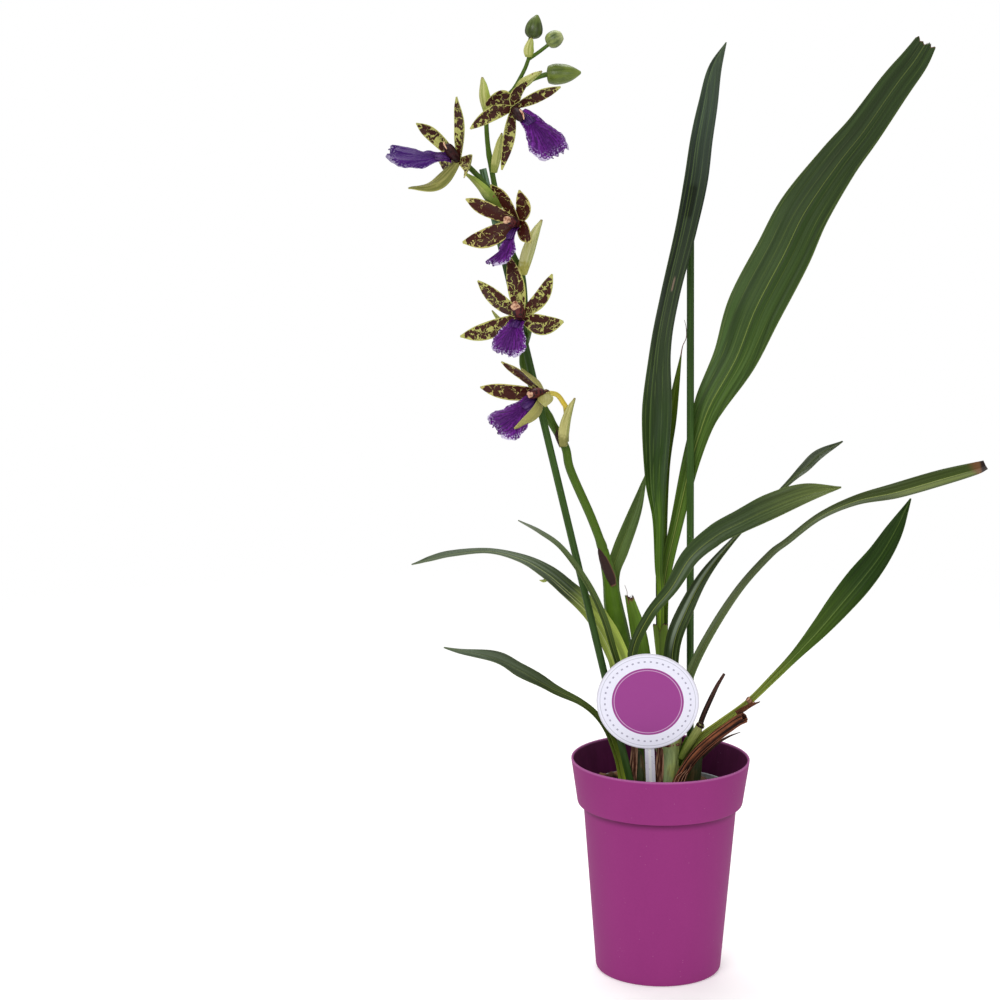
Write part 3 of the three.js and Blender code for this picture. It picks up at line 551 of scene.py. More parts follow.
# painted shade: the inside of the pot is much darker than the outside, with faint streaks
shaded_inside = pot_plastic.mix(streak, "#3c0d2e", "#5c1c4a")
body = pot_plastic.mix(inside, outer, shaded_inside)
speck = pot_plastic.cells(where, 330, "F1")
dust = speck.fall(0.05, 0.13) * pot_plastic.noise(where, 90).rise(0.56, 0.62)
lip = z.between(*ROLLED_LIP)
body = body.tint(dust * 0.2, "#d9a9cd")
# painted highlight: a paler line along the top of the rolled lip
body = body.tint(lip * 0.5, "#b873a8")
# painted shadow: a dark band under the collar's step, where its shadow falls
shade = z.between(*COLLAR_SHADOW_BAND) * (1 - inside)
body = body.tint(shade * 0.6, "#4a1239")
pot_plastic.coat(body, 0.58 + cloud * 0.14 - wide * 0.08, cloud * 0.7 + wide * 0.6, 0.00005)

build("cover_pot", [turned([
    (0, 0, 0), (44, 0, 3.2), (53.7, 120.5, 3.2), (57.7, 120.6, 1.7), (62.5, 153, 0.9),
    (61, 153, 0.7), (56.2, 122, 1.4), (52, 122, 1.2), (42.5, 3, 2.5), (0, 3, 0),
], 160)], pot_plastic, "pot_plastic", "pot")

# %% [markdown]
# ## The grower's pot and the bark
#
# The plant was raised in a thin grey pot, which hangs by its rim inside the collar. Its bark is a
# heap of chips. Thousands of loose chips would be heavy, and nobody sees those underneath, so the
# bed is one bumpy turned skin and only the top layer is made of chips. Each chip is the same small
# rough block, stretched, turned and set down at a place of its own, all in one sum over arrays.

# %% Grower's pot
grey_plastic = Finish("grey_plastic", Specular_IOR_Level=0.4)
where = grey_plastic.place()
grain = grey_plastic.noise(where, 700, 3)
scuff = grey_plastic.noise(grey_plastic.stretch(where, (1, 1, 3)), 45, 4, 0.7)
grey = grey_plastic.mix(scuff.rise(0.4, 0.7), "#8f9599", "#bcc1c6")
grey_plastic.coat(grey, 0.42 + scuff * 0.25, grain, 0.00006)
build("grower_pot", [turned([
    (0, 8, 0), (38, 8, 2.5), (51, 122.3, 1), (51.8, 122.3, 0.4), (53, 124.3, 0.8), (53, 130, 0.6),
    (51.8, 130, 0.5), (51.8, 124.3, 0.5), (49.8, 121.3, 0.8), (36.8, 9.2, 2), (0, 9.2, 0),
], 128)], grey_plastic, "nursery_pot", "nursery_pot")

# %% Bark
bark_finish = Finish("bark_brown", Specular_IOR_Level=0.25)
where = bark_finish.place()
fibre = bark_finish.strands(500, 4000, 4, 0.7)
patch = bark_finish.noise(where, 75, 3)
flake = bark_finish.noise(where, 420, 4, 0.7)
chip_tone, _, _ = bark_finish.mark("share")
wood = bark_finish.mix(chip_tone, "#2c1c14", "#8a6443")
wood = wood.tint(fibre.rise(0.35, 0.75) * 0.6, "#46301f")
wood = wood.tint(patch.rise(0.55, 0.72) * 0.5, "#a58560")
bark_finish.coat(wood, 0.78 + flake * 0.2, flake * 0.6 + fibre * 0.4, 0.0006)

BED = 122.0  # the top of the bed of bark, in millimetres
GOLDEN_ANGLE = 2.39996
FULL_TURN = 6.28
SHORTER = 0.78  # the length of each wave, as a share of the one before it


def rumple(x, y, seed, size, rows=9):
    """A bumpy height over a plane: a few sines in random directions, the shorter the lower."""
    dice = np.random.default_rng(seed)
    lean, start = dice.uniform(0, 2 * np.pi, (2, rows))
    length = size * SHORTER ** np.arange(rows)
    total = 0
    for angle, phase, wave in zip(lean, start, length):
        way = x * np.cos(angle) + y * np.sin(angle)
        total = total + wave / size * np.sin(way * FULL_TURN / wave + phase)
    return total / rows**0.5


def bark_bed():
    """A disc of bumps inside the grower's pot: the top is a rumpled height over rings, and the
    foot is the pot's inside."""
    path = np.array([(0.05, BED), *[(r, BED) for r in np.linspace(2, 49.5, 26)],
                     (49.8, BED - 3), (36.4, 10.0), (0.05, 9.6)])[:, None, :]
    turn = ring(120)
    x, y = path[..., 0] * np.cos(turn), path[..., 0] * np.sin(turn)
    top = path[..., 1] == BED
    z = path[..., 1] + top * (2.2 * rumple(x, y, 4, 26) + 0.8 * rumple(x, y, 5, 9))
    rings = np.stack([x, y, z], -1)
    return skin(rings, {"share": (0.12, 0, 0), "metres": rings * MM})


def chips(count, spread, height, seed):
    """Bark chips. One rough block of six rings is stretched to each chip's size, knocked out of
    shape, turned by three angles and put in its place on a spiral of equal areas. They are heaped
    a little higher at the back left."""
    dice = np.random.default_rng(seed)
    rings, sides = 6, 8
    a = ring(sides)
    t = np.linspace(-1, 1, rings)[:, None]
    full = (1 - np.abs(t) ** 5) ** 0.5 * 0.86 + 0.14
    square = 1 / np.maximum(np.abs(np.cos(a)), np.abs(np.sin(a))) ** 0.75
    block = np.stack([t + 0 * a, full * square * np.cos(a), full * square * np.sin(a)], -1)
    size = dice.uniform((3.5, 2.6, 1.2), (8.5, 5.4, 3.0), (count, 3))
    rough = 1 + dice.uniform(-0.16, 0.16, (count, rings, sides, 1))
    body = block[None] * size[:, None, None] * rough
    tip, roll, spin = dice.uniform((-0.5, -0.6, 0), (0.5, 0.6, 2 * np.pi), (count, 3)).T
    for turn, (p, q) in ((roll, (1, 2)), (tip, (0, 2)), (spin, (0, 1))):
        c, s = np.cos(turn)[:, None, None], np.sin(turn)[:, None, None]
        body[..., p], body[..., q] = (body[..., p] * c - body[..., q] * s,
                                      body[..., p] * s + body[..., q] * c)
    order = np.arange(count)
    radius = spread * np.sqrt((order + 0.5) / count)
    angle = order * GOLDEN_ANGLE + dice.uniform(0, 0.4, count)
    level = height + dice.uniform(-1.2, 2.6, count) + 2 * rumple(radius, angle * 9, 3, 20)
    x, y = radius * np.cos(angle), radius * np.sin(angle)
    heap_x, heap_y, heap_height, heap_width = -36, 18, 9, 10
    off = (x - heap_x) ** 2 + (y - heap_y) ** 2
    level = level + heap_height * np.exp(-off / heap_width**2)
    spot = np.stack([x, y, level], -1)
    tone = dice.beta(1.6, 2.6, count)
    return [skin(part + at, {"share": (hue, 0, 0), "metres": (grid + at * 3) * MM})
            for part, at, hue, grid in zip(body, spot, tone, block * 4 + 0 * body)]


build("bark_heap", [bark_bed(), *chips(count=210, spread=46, height=124.5, seed=7)],
      bark_finish, "bark", "bark")

# %% [markdown]
# ## Canes
#
# The spike leans on a thin green cane and a second cane holds the tall leaves. They are steel or
# cane rods with a coat of green plastic. The coat has fine lengthwise ribs and a slight shine. A
# stem along a straight curve gives the rod, with a small swell for the ribs. Its top is hollow.

# %% Canes
cane_coat = Finish("cane_coat", Specular_IOR_Level=0.2)
rub = cane_coat.strands(900, 25)
rib = cane_coat.strands(5, 2, 2, of="share")
green = cane_coat.mix(rub.rise(0.35, 0.7), "#2f4916", "#3e5d23")
green = green.tint(rib.rise(0.55, 0.75) * 0.6, "#274418")
where = cane_coat.place()
x, _, z = cane_coat.parts(where)
right = x.rise(0, 0.01)
# painted shade: the right cane is darker high up, behind the tall leaves, and the left cane is darker
# low down among the leaves
green = green.tint(right * z.rise(0.37, 0.41) * 0.3, "#13220a")
green = green.tint((1 - right) * z.fall(0.26, 0.36) * 0.35, "#1c3010")
# painted highlight: pale grey-green streaks near the top of the left cane
green = green.tint((1 - right) * z.rise(0.48, 0.54) * rub.rise(0.3, 0.6) * 0.6, "#86a48c")
chip = cane_coat.cells(where, 260, "F1").fall(0.06, 0.14)
chip = chip * cane_coat.noise(where, 70).rise(0.54, 0.6)
green = green.tint(chip * 0.5, "#9fb08c")
cane_coat.coat(green, 0.36 + rub * 0.2, rib + rub * 0.4, 0.00012)
ribs = lambda turn, share: 1 + 0.02 * np.cos(11 * turn + 4 * share)
for name, node, route in (
    ("left_cane", "cane_left", [[-2, -25, 66], [-124, -4, 562]]),
    ("right_cane", "cane_right", [[22, 12, 66], [16, 12, 549]]),
):
    build(name, [stem(route, 2.5, 60, 44, ribs, (1.6, 0), 6)], cane_coat, "cane", node)

# %% [markdown]
# ## The label
#
# A round card on a clear plastic stake stands at the front. Card and stake lean forwards together.
# The card is a disc with a soft edge: a pale rim with a thin grey line and a ring of small dots,
# and a plain magenta middle. The ring of dots is a cosine of the angle round the card, so it needs
# no picture. The stake is an extruded strip with a rib down its middle.

# %% Label card
PRINTED_DISC, RIM = (24.4, 24.7), (33.9, 34.2)  # radii in millimetres, where each starts or ends
PALE_BAND = (22.6, 22.8, 23.1, 23.3)
DOTS = (28.6, 28.9, 29.7, 30.0)
THIN_RING = (32.3, 32.5, 32.7, 32.9)
DOT_COUNT = 44
card_paper = Finish("card_paper", Specular_IOR_Level=0.45, Coat_Roughness=0.2)
x, y, side = card_paper.mark("metres")
far = (x**2 + y**2) ** 0.5 * 1000
angle = y.math("ARCTAN2", x)
fleck = card_paper.noise(card_paper.place(), 1600, 3)
front = side.rise(-0.1, 0.1)
white = card_paper.mix(fleck, "#dcdbec", "#e9e8f5")
disc = far.fall(*PRINTED_DISC) * front
thin = far.between(*THIN_RING) * front
dots = (angle * DOT_COUNT).sine().rise(0.35, 0.6) * far.between(*DOTS) * front
band = far.between(*PALE_BAND) * front
paint = white.tint(disc, "#912c83")
paint = paint.tint(far.rise(*RIM), "#cfcdd8")
paint = paint.tint(band * 0.55, "#e3c6e4")
paint = paint.tint(thin, "#b9b9c6")
paint = paint.tint(dots, "#9a98ac")
card_paper.coat(paint, 0.34 + fleck * 0.1, fleck, 0.00002)


def leaning(points):
    """Turns the upright label about its centre: 2.5 degrees to the left and 8 to the front."""
    lean, tilt = np.radians((8, -2.5))
    x, y, z = points[..., 0], points[..., 1], points[..., 2]
    x, z = x * np.cos(tilt) + z * np.sin(tilt), z * np.cos(tilt) - x * np.sin(tilt)
    y, z = y * np.cos(lean) - z * np.sin(lean), y * np.sin(lean) + z * np.cos(lean)
    return np.stack([x, y, z], -1) + (-9, -38, 203)


def disc_card(radius, thickness):
    """A disc from its back to its front: rings that grow to the rim and shrink again."""
    edge = np.linspace(-np.pi / 2, np.pi / 2, 9)
    rim = [(radius - 0.5 + 0.5 * np.cos(e), thickness / 2 * np.sin(e)) for e in edge]
    steps = np.linspace(0.02, radius - 0.6, 30)
    back = [(r, -thickness / 2) for r in steps]
    path = np.array([*back, *rim, *[(r, -y) for r, y in back[::-1]]])
    turn = ring(128)
    x, z = path[:, :1] * np.cos(turn), path[:, :1] * np.sin(turn)
    depth = path[:, 1:] + 0 * turn
    marks = {"metres": np.stack([x * MM, z * MM, depth / thickness * 2], -1)}
    return skin(leaning(np.stack([x, -depth, z], -1)), marks)


build("name_card", [disc_card(radius=35, thickness=1.2)], card_paper, "label_card", "label_card")

# %% Label stake
clear_plastic = Finish("clear_plastic", IOR=1.45, Transmission_Weight=0.2)
x, _, _ = clear_plastic.mark("metres")
cloudy = clear_plastic.noise(clear_plastic.place(), 500, 3)
# painted highlight: the stake is whiter down its middle, over the rib
middle = abs(x * 1000).fall(0.7, 1.2)
milk_with_highlight = clear_plastic.mix(middle, "#ebe9f6", "#ffffff")
clear_plastic.coat(milk_with_highlight, 0.2 + cloudy * 0.2, cloudy, 0.00004)


def stake():
    """A strip with a rib down its back, as rings round its section, and a point at its foot."""
    half, rib, front, back = 3.3, 1.2, 0.9, 2.3
    corners = np.array([(-half, front), (0, front), (half, front), (half, back), (rib, back),
                        (rib, back + 1), (-rib, back + 1), (-rib, back), (-half, back)])
    height = np.array([-112, -111, -104, -96, *np.linspace(-90, 11, 30), 11.6, 12])[:, None]
    taper = np.interp(height, [-112, -96, 11, 12], [0.12, 1, 1, 0.85])
    x = corners[None, :, 0] * taper
    y = corners[None, :, 1] + 0 * height
    marks = {"metres": np.stack([x * MM, y * MM, 0 * x], -1)}
    return skin(leaning(np.stack([x, y, height + 0 * x], -1)), marks)


label_stake = build("card_stake", [stake()], clear_plastic, "label_stake", "label_stake")
sharp = np.zeros(len(label_stake.data.polygons), bool)
label_stake.data.polygons.foreach_set("use_smooth", sharp)

# %% [markdown]
# ## Pseudobulbs
#
# A zygopetalum stores water in egg-shaped bulbs at its foot. They are green with lengthwise
# ridges, and the dry rests of old sheaths wrap them. A bulb is a stem whose radius swells and
# shrinks, with a ridge for each cosine round it.

# %% Bulb finish
bulb_skin = Finish("bulb_skin", Specular_IOR_Level=0.4)
strand = bulb_skin.strands(700, 30, 4, 0.7)
blot = bulb_skin.noise(bulb_skin.place(), 110, 4)
papery = bulb_skin.strands(160, 25)
x, _, _ = bulb_skin.parts(bulb_skin.place())
green = bulb_skin.mix(x.rise(-0.004, 0.014) * 0.6 + blot.rise(0.4, 0.6) * 0.4, "#96b084", "#bcc766")
old = x.fall(-0.011, -0.008) + x.rise(0.014, 0.017)
green = green.tint(old, "#333c1b")
green = green.tint(strand.rise(0.35, 0.7) * 0.35, "#2f4418")
green = green.tint(papery.rise(0.58, 0.66) * 0.6, "#6f5a36")
bulb_skin.coat(green, 0.4 + blot * 0.25, strand * 0.7 + blot * 0.5, 0.0006)

ridged = lambda turn, share: (1 + 0.045 * np.cos(9 * turn + 2 * share)
                              + 0.02 * np.cos(23 * turn))
for name, node, route, radii in (
    ("main_bulb", "bulb_main", [[4, -8, 118], [4.5, -8, 136], [6, -8, 154], [4, -5, 172],
                                [1, 0, 190]],
     [6, 6.5, 6.8, 7.0, 8.2, 10.4, 9, 4.6]),
    ("left_bulb", "bulb_left", [[-15, -8, 118], [-15, -9, 145], [-15, -8, 160]],
     [4, 5.6, 5.6, 4.2, 1.5]),
    ("right_bulb", "bulb_right", [[20, -3, 120], [22, -4, 145], [27, -5, 170]],
     [4, 6.2, 6.6, 5, 3.2]),
):
    build(name, [stem(route, radii, 70, 72, ridged, (1, 2))], bulb_skin, "bulb", node)

# %% [markdown]
# ## The flower spike
#
# The spike is one growth: a main stem that zigzags from joint to joint, and a short stalk to each
# bloom and bud. Each is a stem along its own curve. They run into one another at the joints, so
# their skins may overlap and go into one piece. The stem swells a little at each joint. It is
# darker below, olive in the middle and brown under the lowest flower's joint.

# %% Spike finish
spike_skin = Finish("spike_skin", Specular_IOR_Level=0.25)
where = spike_skin.place()
_, _, z = spike_skin.parts(where)
strand = spike_skin.strands(1500, 40)
mottle = spike_skin.noise(where, 160, 3)
green = spike_skin.mix(strand * 0.6 + mottle * 0.4, "#354e0b", "#567317")
green = green.tint(z.between(0.40, 0.46, 0.52, 0.6) * 0.35, "#2c4d22")
green = green.tint(mottle.rise(0.62, 0.75) * 0.35, "#6a4a3a")
green = green.tint(z.between(0.27, 0.31, 0.38, 0.42) * 0.4, "#44630e")
spike_skin.coat(green, 0.38 + mottle * 0.2, strand, 0.00015)

main_stem = [
    [-10, 12, 118], [-19, 12, 180], [-29, 12, 234], [-35, 12, 272], [-40, 11, 294], [-49, 8, 320],
    [-64, 5, 355], [-68, 4, 372], [-79, 3, 392], [-95, 5, 423], [-97, 5, 436], [-96, 6, 462],
    [-98, 6, 490], [-105, 5, 505], [-111, 4, 524], [-117, 2, 554], [-121, 0, 580], [-121, 0, 600],
    [-114, -1, 606], [-106, -1, 612], [-102, 0, 617], [-96, 0, 628], [-93, 0, 636],
]
main_radii = [3, 3.3, 3.4, 3.4, 3.4, 3.1, 3.1, 3, 2.8, 2.6, 2.4, 2.2, 2, 1.7, 1.4, 1.3]
stalks = [
    ([[-67, 2, 376], [-67, -4, 398], [-69, -7, 404], [-73, -12, 410], [-79, -17, 412]], [1.9, 1.7]),
    ([[-97, 5, 438], [-94, -2, 446], [-92, -12, 455], [-95, -18, 462]], [2, 1.8]),
    ([[-98, 6, 490], [-94, 2, 504], [-94, -4, 514], [-98, -12, 525]], [2, 1.8]),
    ([[-114, 3, 534], [-116, -5, 539], [-118, -11, 546], [-125, -13, 556], [-136, -12, 567]],
     [2, 1.8]),
    ([[-120, 0, 600], [-116, -6, 605], [-110, -11, 606], [-105, -13, 604]], [1.8, 1.6]),
    ([[-102, 0, 616], [-94, -3, 620], [-87, -4, 623], [-80, -4, 625]], [1.8, 1.7]),
    ([[-93, 0, 635], [-93, 0, 642], [-91.5, 0, 651]], [1.5, 1.5]),
    ([[-93, 0, 635], [-87, -2, 639], [-79, -2, 645]], [1.3, 1.2]),
]
joints, joint_length = np.array([0.34, 0.52, 0.62, 0.735, 0.86, 0.95]), 0.006


def swollen(turn, share):
    """A bell curve round each joint, which makes the stem a sixth thicker there."""
    return 1 + 0.16 * np.exp(-(((share[..., None] - joints) / joint_length) ** 2)).sum(-1)


skins = [stem(main_stem, main_radii, 360, 28, swollen, (0, 0.8))]
skins += [stem(route, radii, 40, 20) for route, radii in stalks[1:]]
build("flower_spike", skins, spike_skin, "spike_stem", "spike")

yellow_stalk = Finish("yellow_stalk", Specular_IOR_Level=0.35)
_, run, _ = yellow_stalk.mark("share")
mottle = yellow_stalk.noise(yellow_stalk.place(), 300, 3)
tone = yellow_stalk.ramp(run, ("#7d8a3a", "#c3b956", "#d9be3c", "#c9ba55"))
yellow_stalk.coat(tone.tint(mottle.rise(0.5, 0.8) * 0.3, "#a8963a"),
                  0.4 + mottle * 0.2, mottle, 0.0001)
build("lowest_stalk", [stem(*stalks[0], 40, 24)], yellow_stalk, "spike_stem")

# %% [markdown]
# ## Sheaths on the spike
#
# A fresh leaf sheath wraps the foot of the spike and ends in a slanting mouth. Above it sits a dry
# brown patch, pointed at the top, where the sheath has died. The sheath is a stem with a wall that
# is a little pinched, and the patch is a blade that bends round it.

# %% Sheath finishes
green_sheath = Finish("green_sheath", Specular_IOR_Level=0.22)
_, run, _ = green_sheath.mark("share")
strand = green_sheath.strands(900, 20, 4, 0.6)
blot = green_sheath.noise(green_sheath.place(), 90, 3)
tone = green_sheath.ramp(run, ("#2e4103", "#344d03", "#3f5d04", "#4b6b0a", "#48660f"))
tone = green_sheath.stretch(tone, 0.75 + strand * 0.5)
tone = tone.tint(blot.rise(0.5, 0.75) * 0.3, "#6b8a26")
green_sheath.coat(tone, 0.42 + blot * 0.15, strand, 0.0003)

dark_patch = Finish("dark_patch", Specular_IOR_Level=0.25)
across, _, _ = dark_patch.mark("share")
_, _, left = dark_patch.mark("metres")
grain = dark_patch.noise(dark_patch.place(), 700, 3)
tone = dark_patch.mix(grain, "#241411", "#3b2320")
margin = abs(across).rise(0.8, 0.97) + left.fall(0.02, 0.06)
tone = tone.tint(margin * 0.7, "#7f5c44")
dark_patch.coat(tone, 0.6 + grain * 0.2, grain, 0.0002)


def dry_finish(name, dark, light, strength=0.6, weave=3):
    """Dead, papery skin: dark gaps between light fibres that run along the piece."""
    dry = Finish(name, Specular_IOR_Level=0.2)
    side, length, depth = dry.mark("metres")
    fibres = dry.noise(dry.vector(side * 1000, length * 9, depth * weave), 1, 3, strength)
    blot = dry.noise(dry.place(), 120, 4)
    tone = dry.mix(fibres.rise(0.42, 0.6), dark, light)
    tone = tone.tint(blot.rise(0.5, 0.7) * 0.4, dark)
    return dry.coat(tone, 0.7 + fibres * 0.2, fibres + blot * 0.4, 0.0008)


dry_sheath = dry_finish("dry_sheath", "#170806", "#925638", weave=1000)
tan_sheath = dry_finish("tan_sheath", "#4a2416", "#c6977a")
twig_bark = dry_finish("twig_bark", "#150d0b", "#4a3028", weave=1000)

wrapped = lambda turn, share: 1 + 0.02 * np.cos(8 * turn) + 0.04 * np.cos(turn + 6 * share)
build("spike_foot_sheath",
      [stem([[-16, 12, 170], [-27, 12, 225], [-33.5, 12, 257], [-36.5, 11.8, 276],
             [-41.6, 10.8, 299]],
            [3.6, 6.6, 7.3, 7.5, 7.3, 6.2, 4.6, 3.5], 80, 48, wrapped, (2, 1))],
      green_sheath, "green_sheath", "spike_sheath")
build("spike_brown_sheath",
      [blade([[-44.4, 7.6, 300], [-42.0, 6.9, 292], [-37.8, 5.9, 281], [-34.4, 5.6, 273.5]],
             np.array([1.0, 6.4, 9.2, 9.4, 5.5]), [-0.4, -0.9, 0], fold=-0.7, thickness=0.8,
             steps=60, around=40)],
      dark_patch, "dry_sheath", "spike_dry_sheath")
build("joint_patch",
      [blade([[-75.6, 1.4, 389], [-73.6, 0.6, 380], [-70.6, 0.4, 372]],
             np.array([1.0, 3.4, 3.6, 2.4]), [-0.5, -0.85, 0], fold=-0.5, thickness=0.8,
             steps=40, around=32)],
      dark_patch, "dry_sheath")

# %% [markdown]
# ## Blooms
#
# A bloom has five tepals in a fan, a broad violet lip below, and a short column with a cream cap
# in the middle. Each tepal is a blade from the hub of the bloom to its tip. Its upper side is
# maroon, broken into bars and blots by a net of yellow-green, which a cell pattern gives: where a
# point lies near a border between two cells it is green, and inside a cell it is maroon. Two of
# the blooms are redder, with fewer gaps. The back is pale green with olive strokes.

# %% Tepal finish
tepal_skin = Finish("tepal_skin", Specular_IOR_Level=0.22)
across, run, face = tepal_skin.mark("share")
width, length, _ = tepal_skin.mark("metres")
where = tepal_skin.place()
x, _, z = tepal_skin.parts(where)
jog = tepal_skin.noise(where, 330, 3)
sway = tepal_skin.noise(where, 150, 2)
gate = tepal_skin.noise(where, 240, 2)
sheet = tepal_skin.vector(width * 175 + jog * 1.8, length * 215 + sway * 3.0, z * 9)
border = tepal_skin.cells(sheet, 1.0, "DISTANCE_TO_EDGE")
vein = tepal_skin.noise(tepal_skin.vector(across * 7, length * 45, z * 30), 1, 3)
edge = abs(across).rise(0.8, 0.99)
tips = run.rise(0.3, 0.95)
reddish = z.between(0.49, 0.5, 0.56, 0.565) + z.fall(0.43, 0.44)
reddish = reddish * x.rise(-0.14, -0.13)
open_net = (gate - 0.44) * (0.3 + tips * 0.3) + edge * 0.3 + run.rise(0.9, 0.99) * 0.4
open_net = open_net - reddish * 0.04
blot = (border - open_net - 0.004).rise(0.0, 0.035)
green = tepal_skin.mix(vein, "#9fa246", "#cbc77a")
maroon = tepal_skin.mix(vein, "#270d08", "#4f241b")
maroon = maroon.tint(run.fall(0.1, 0.4), "#43190f")
maroon = maroon.tint(reddish * 0.5, "#431004")
green = green.tint(reddish * 0.35, "#c9b26c")
upper = tepal_skin.mix(blot, green, maroon)
back = tepal_skin.mix(blot * 0.22, "#aeab62", "#7b5d3c")
stroke = vein.rise(0.35, 0.6) * (0.85 - x.rise(-0.15, -0.12) * 0.6)
back = back.tint(stroke, "#6b7030")
under = face.fall(-0.3, 0.3)
tone = tepal_skin.mix(under, upper, back)
tepal_skin.coat(tone, 0.42 + vein * 0.15, vein * 0.6 + blot * 0.3, 0.0003)

# %% Lip, column and cap finishes
lip_skin = Finish("lip_skin", Specular_IOR_Level=0.15)
across, _, face = lip_skin.mark("share")
_, along_lip, spread = lip_skin.mark("fan")
where = lip_skin.place()
jog = lip_skin.noise(where, 170, 3)
ray = (spread * 26 + jog * 7).sine().rise(-0.2, 1.0)
net = lip_skin.noise(lip_skin.vector(spread * 13, along_lip * 4), 1, 3, 0.6)
crumb = lip_skin.noise(where, 1000, 2, 0.5)
violet = lip_skin.mix(net.rise(0.3, 0.75), "#440e56", "#762099")
violet = violet.tint(ray * 0.55, "#2a0742")
crinkle = lip_skin.noise(where, 420, 3, 0.6)
violet = violet.tint(crinkle.rise(0.52, 0.62) * 0.25, "#8c44b0")
violet = violet.tint(abs(across).fall(0.0, 0.55) * 0.4, "#2c0645")
x, _, _ = lip_skin.parts(where)
violet = violet.tint(x.fall(-0.16, -0.145) * 0.55, "#30146c")
specks = crumb.rise(0.53, 0.6) * along_lip.rise(0.76, 0.99)
pale = violet.tint(specks * 0.7, "#d9cdee")
rim = (along_lip + (net - 0.5) * 0.15 + (crumb - 0.5) * 0.3).rise(0.975, 1.01)
pale = pale.tint(rim * 0.6, "#e4dcf3")
throat = along_lip.fall(0.08, 0.26)
pale = pale.tint(throat * 0.8, "#2c0a22")
under = face.fall(-0.3, 0.3)
pale = pale.tint(under * 0.1, "#8f76b4")
# painted shade: the lip of bloom d, at the far left, is painted darker than the others
far_lip_painted_shade = x.fall(-0.15, -0.135)
pale = pale.tint(far_lip_painted_shade * (0.35 + crinkle.rise(0.3, 0.6) * 0.2), "#34005a")
lip_skin.coat(pale, 0.45 + net * 0.2, crinkle + net * 0.4 - ray * 0.3, 0.0006)

column_skin = Finish("column_skin", Specular_IOR_Level=0.25)
_, run, _ = column_skin.mark("share")
blot = column_skin.noise(column_skin.place(), 420, 3)
_, _, z = column_skin.parts(column_skin.place())
low = z.fall(0.54, 0.555)
tone = column_skin.mix(blot.rise(0.35, 0.7), "#1d0709", "#3b1518")
tone = tone.tint(low * blot.rise(0.4, 0.6) * 0.7, "#6c2c2c")
tone = tone.tint(run.rise(0.8, 1.0) * 0.4, "#2c0d24")
column_skin.coat(tone, 0.4 + blot * 0.2, blot, 0.0002)

cap_skin = Finish("cap_skin", Specular_IOR_Level=0.3)
blot = cap_skin.noise(cap_skin.place(), 500, 3)
cream = cap_skin.mix(blot.rise(0.3, 0.6), "#8a4f38", "#e2b592")
cap_skin.coat(cream, 0.4 + blot * 0.2, blot, 0.0002)

crest_skin = Finish("crest_skin", Specular_IOR_Level=0.35)
across, _, _ = crest_skin.mark("share")
stripe = (across * 13).sine().rise(-0.2, 0.6)
soft = crest_skin.noise(crest_skin.place(), 400, 2)
violet = crest_skin.mix(soft.rise(0.5, 0.8) * 0.6, "#4a1c66", "#7b5498")
crest_skin.coat(violet.tint(stripe * 0.6, "#34105c"), 0.42 + soft * 0.2, 1 - stripe, 0.0004)

# %% Shapes of a bloom
TEPAL_WIDTHS = np.array([0.32, 0.7, 0.95, 1, 0.88, 0.58, 0.1])
LIP_WIDTHS = np.array([0.42, 0.46, 0.6, 0.84, 1, 0.98, 0.62])
CAPS = {
    "a": ([[-91.3, -30, 412.8], [-89.9, -33, 412.8], [-88.7, -34, 411.6]], [1.3, 2.0, 0.9], 0.9),
    "b": ([[-100, -31, 470.6], [-100.3, -34, 473.6], [-101.8, -35, 475]], [2.2, 2.8, 1.1], 1),
    "c": ([[-107.4, -26, 528], [-106, -29, 529.4], [-103.6, -30, 529.6]], [1.2, 2.4, 1.6], 0.9),
    "d": ([[-149, -18.4, 580.6], [-148.4, -20, 578.4], [-146.6, -20.6, 575.6]], [0.4, 0.55, 0.3],
          0.8),
    "e": ([[-98, -26.5, 602.4], [-95.6, -28.5, 599.6], [-94.8, -28.5, 595.6]], [0.35, 0.6, 0.3],
          0.85),
}


def tepal(hub, middle, tip, width, face, turn):
    """A pointed blade, hollow towards the face, with a small wave in its margins."""
    return blade([hub, middle, tip], TEPAL_WIDTHS * width, face, fold=0.25, ripple=0.5, waves=1.3,
                 phase=turn, thickness=0.7, steps=70, around=36, keel=0.25)


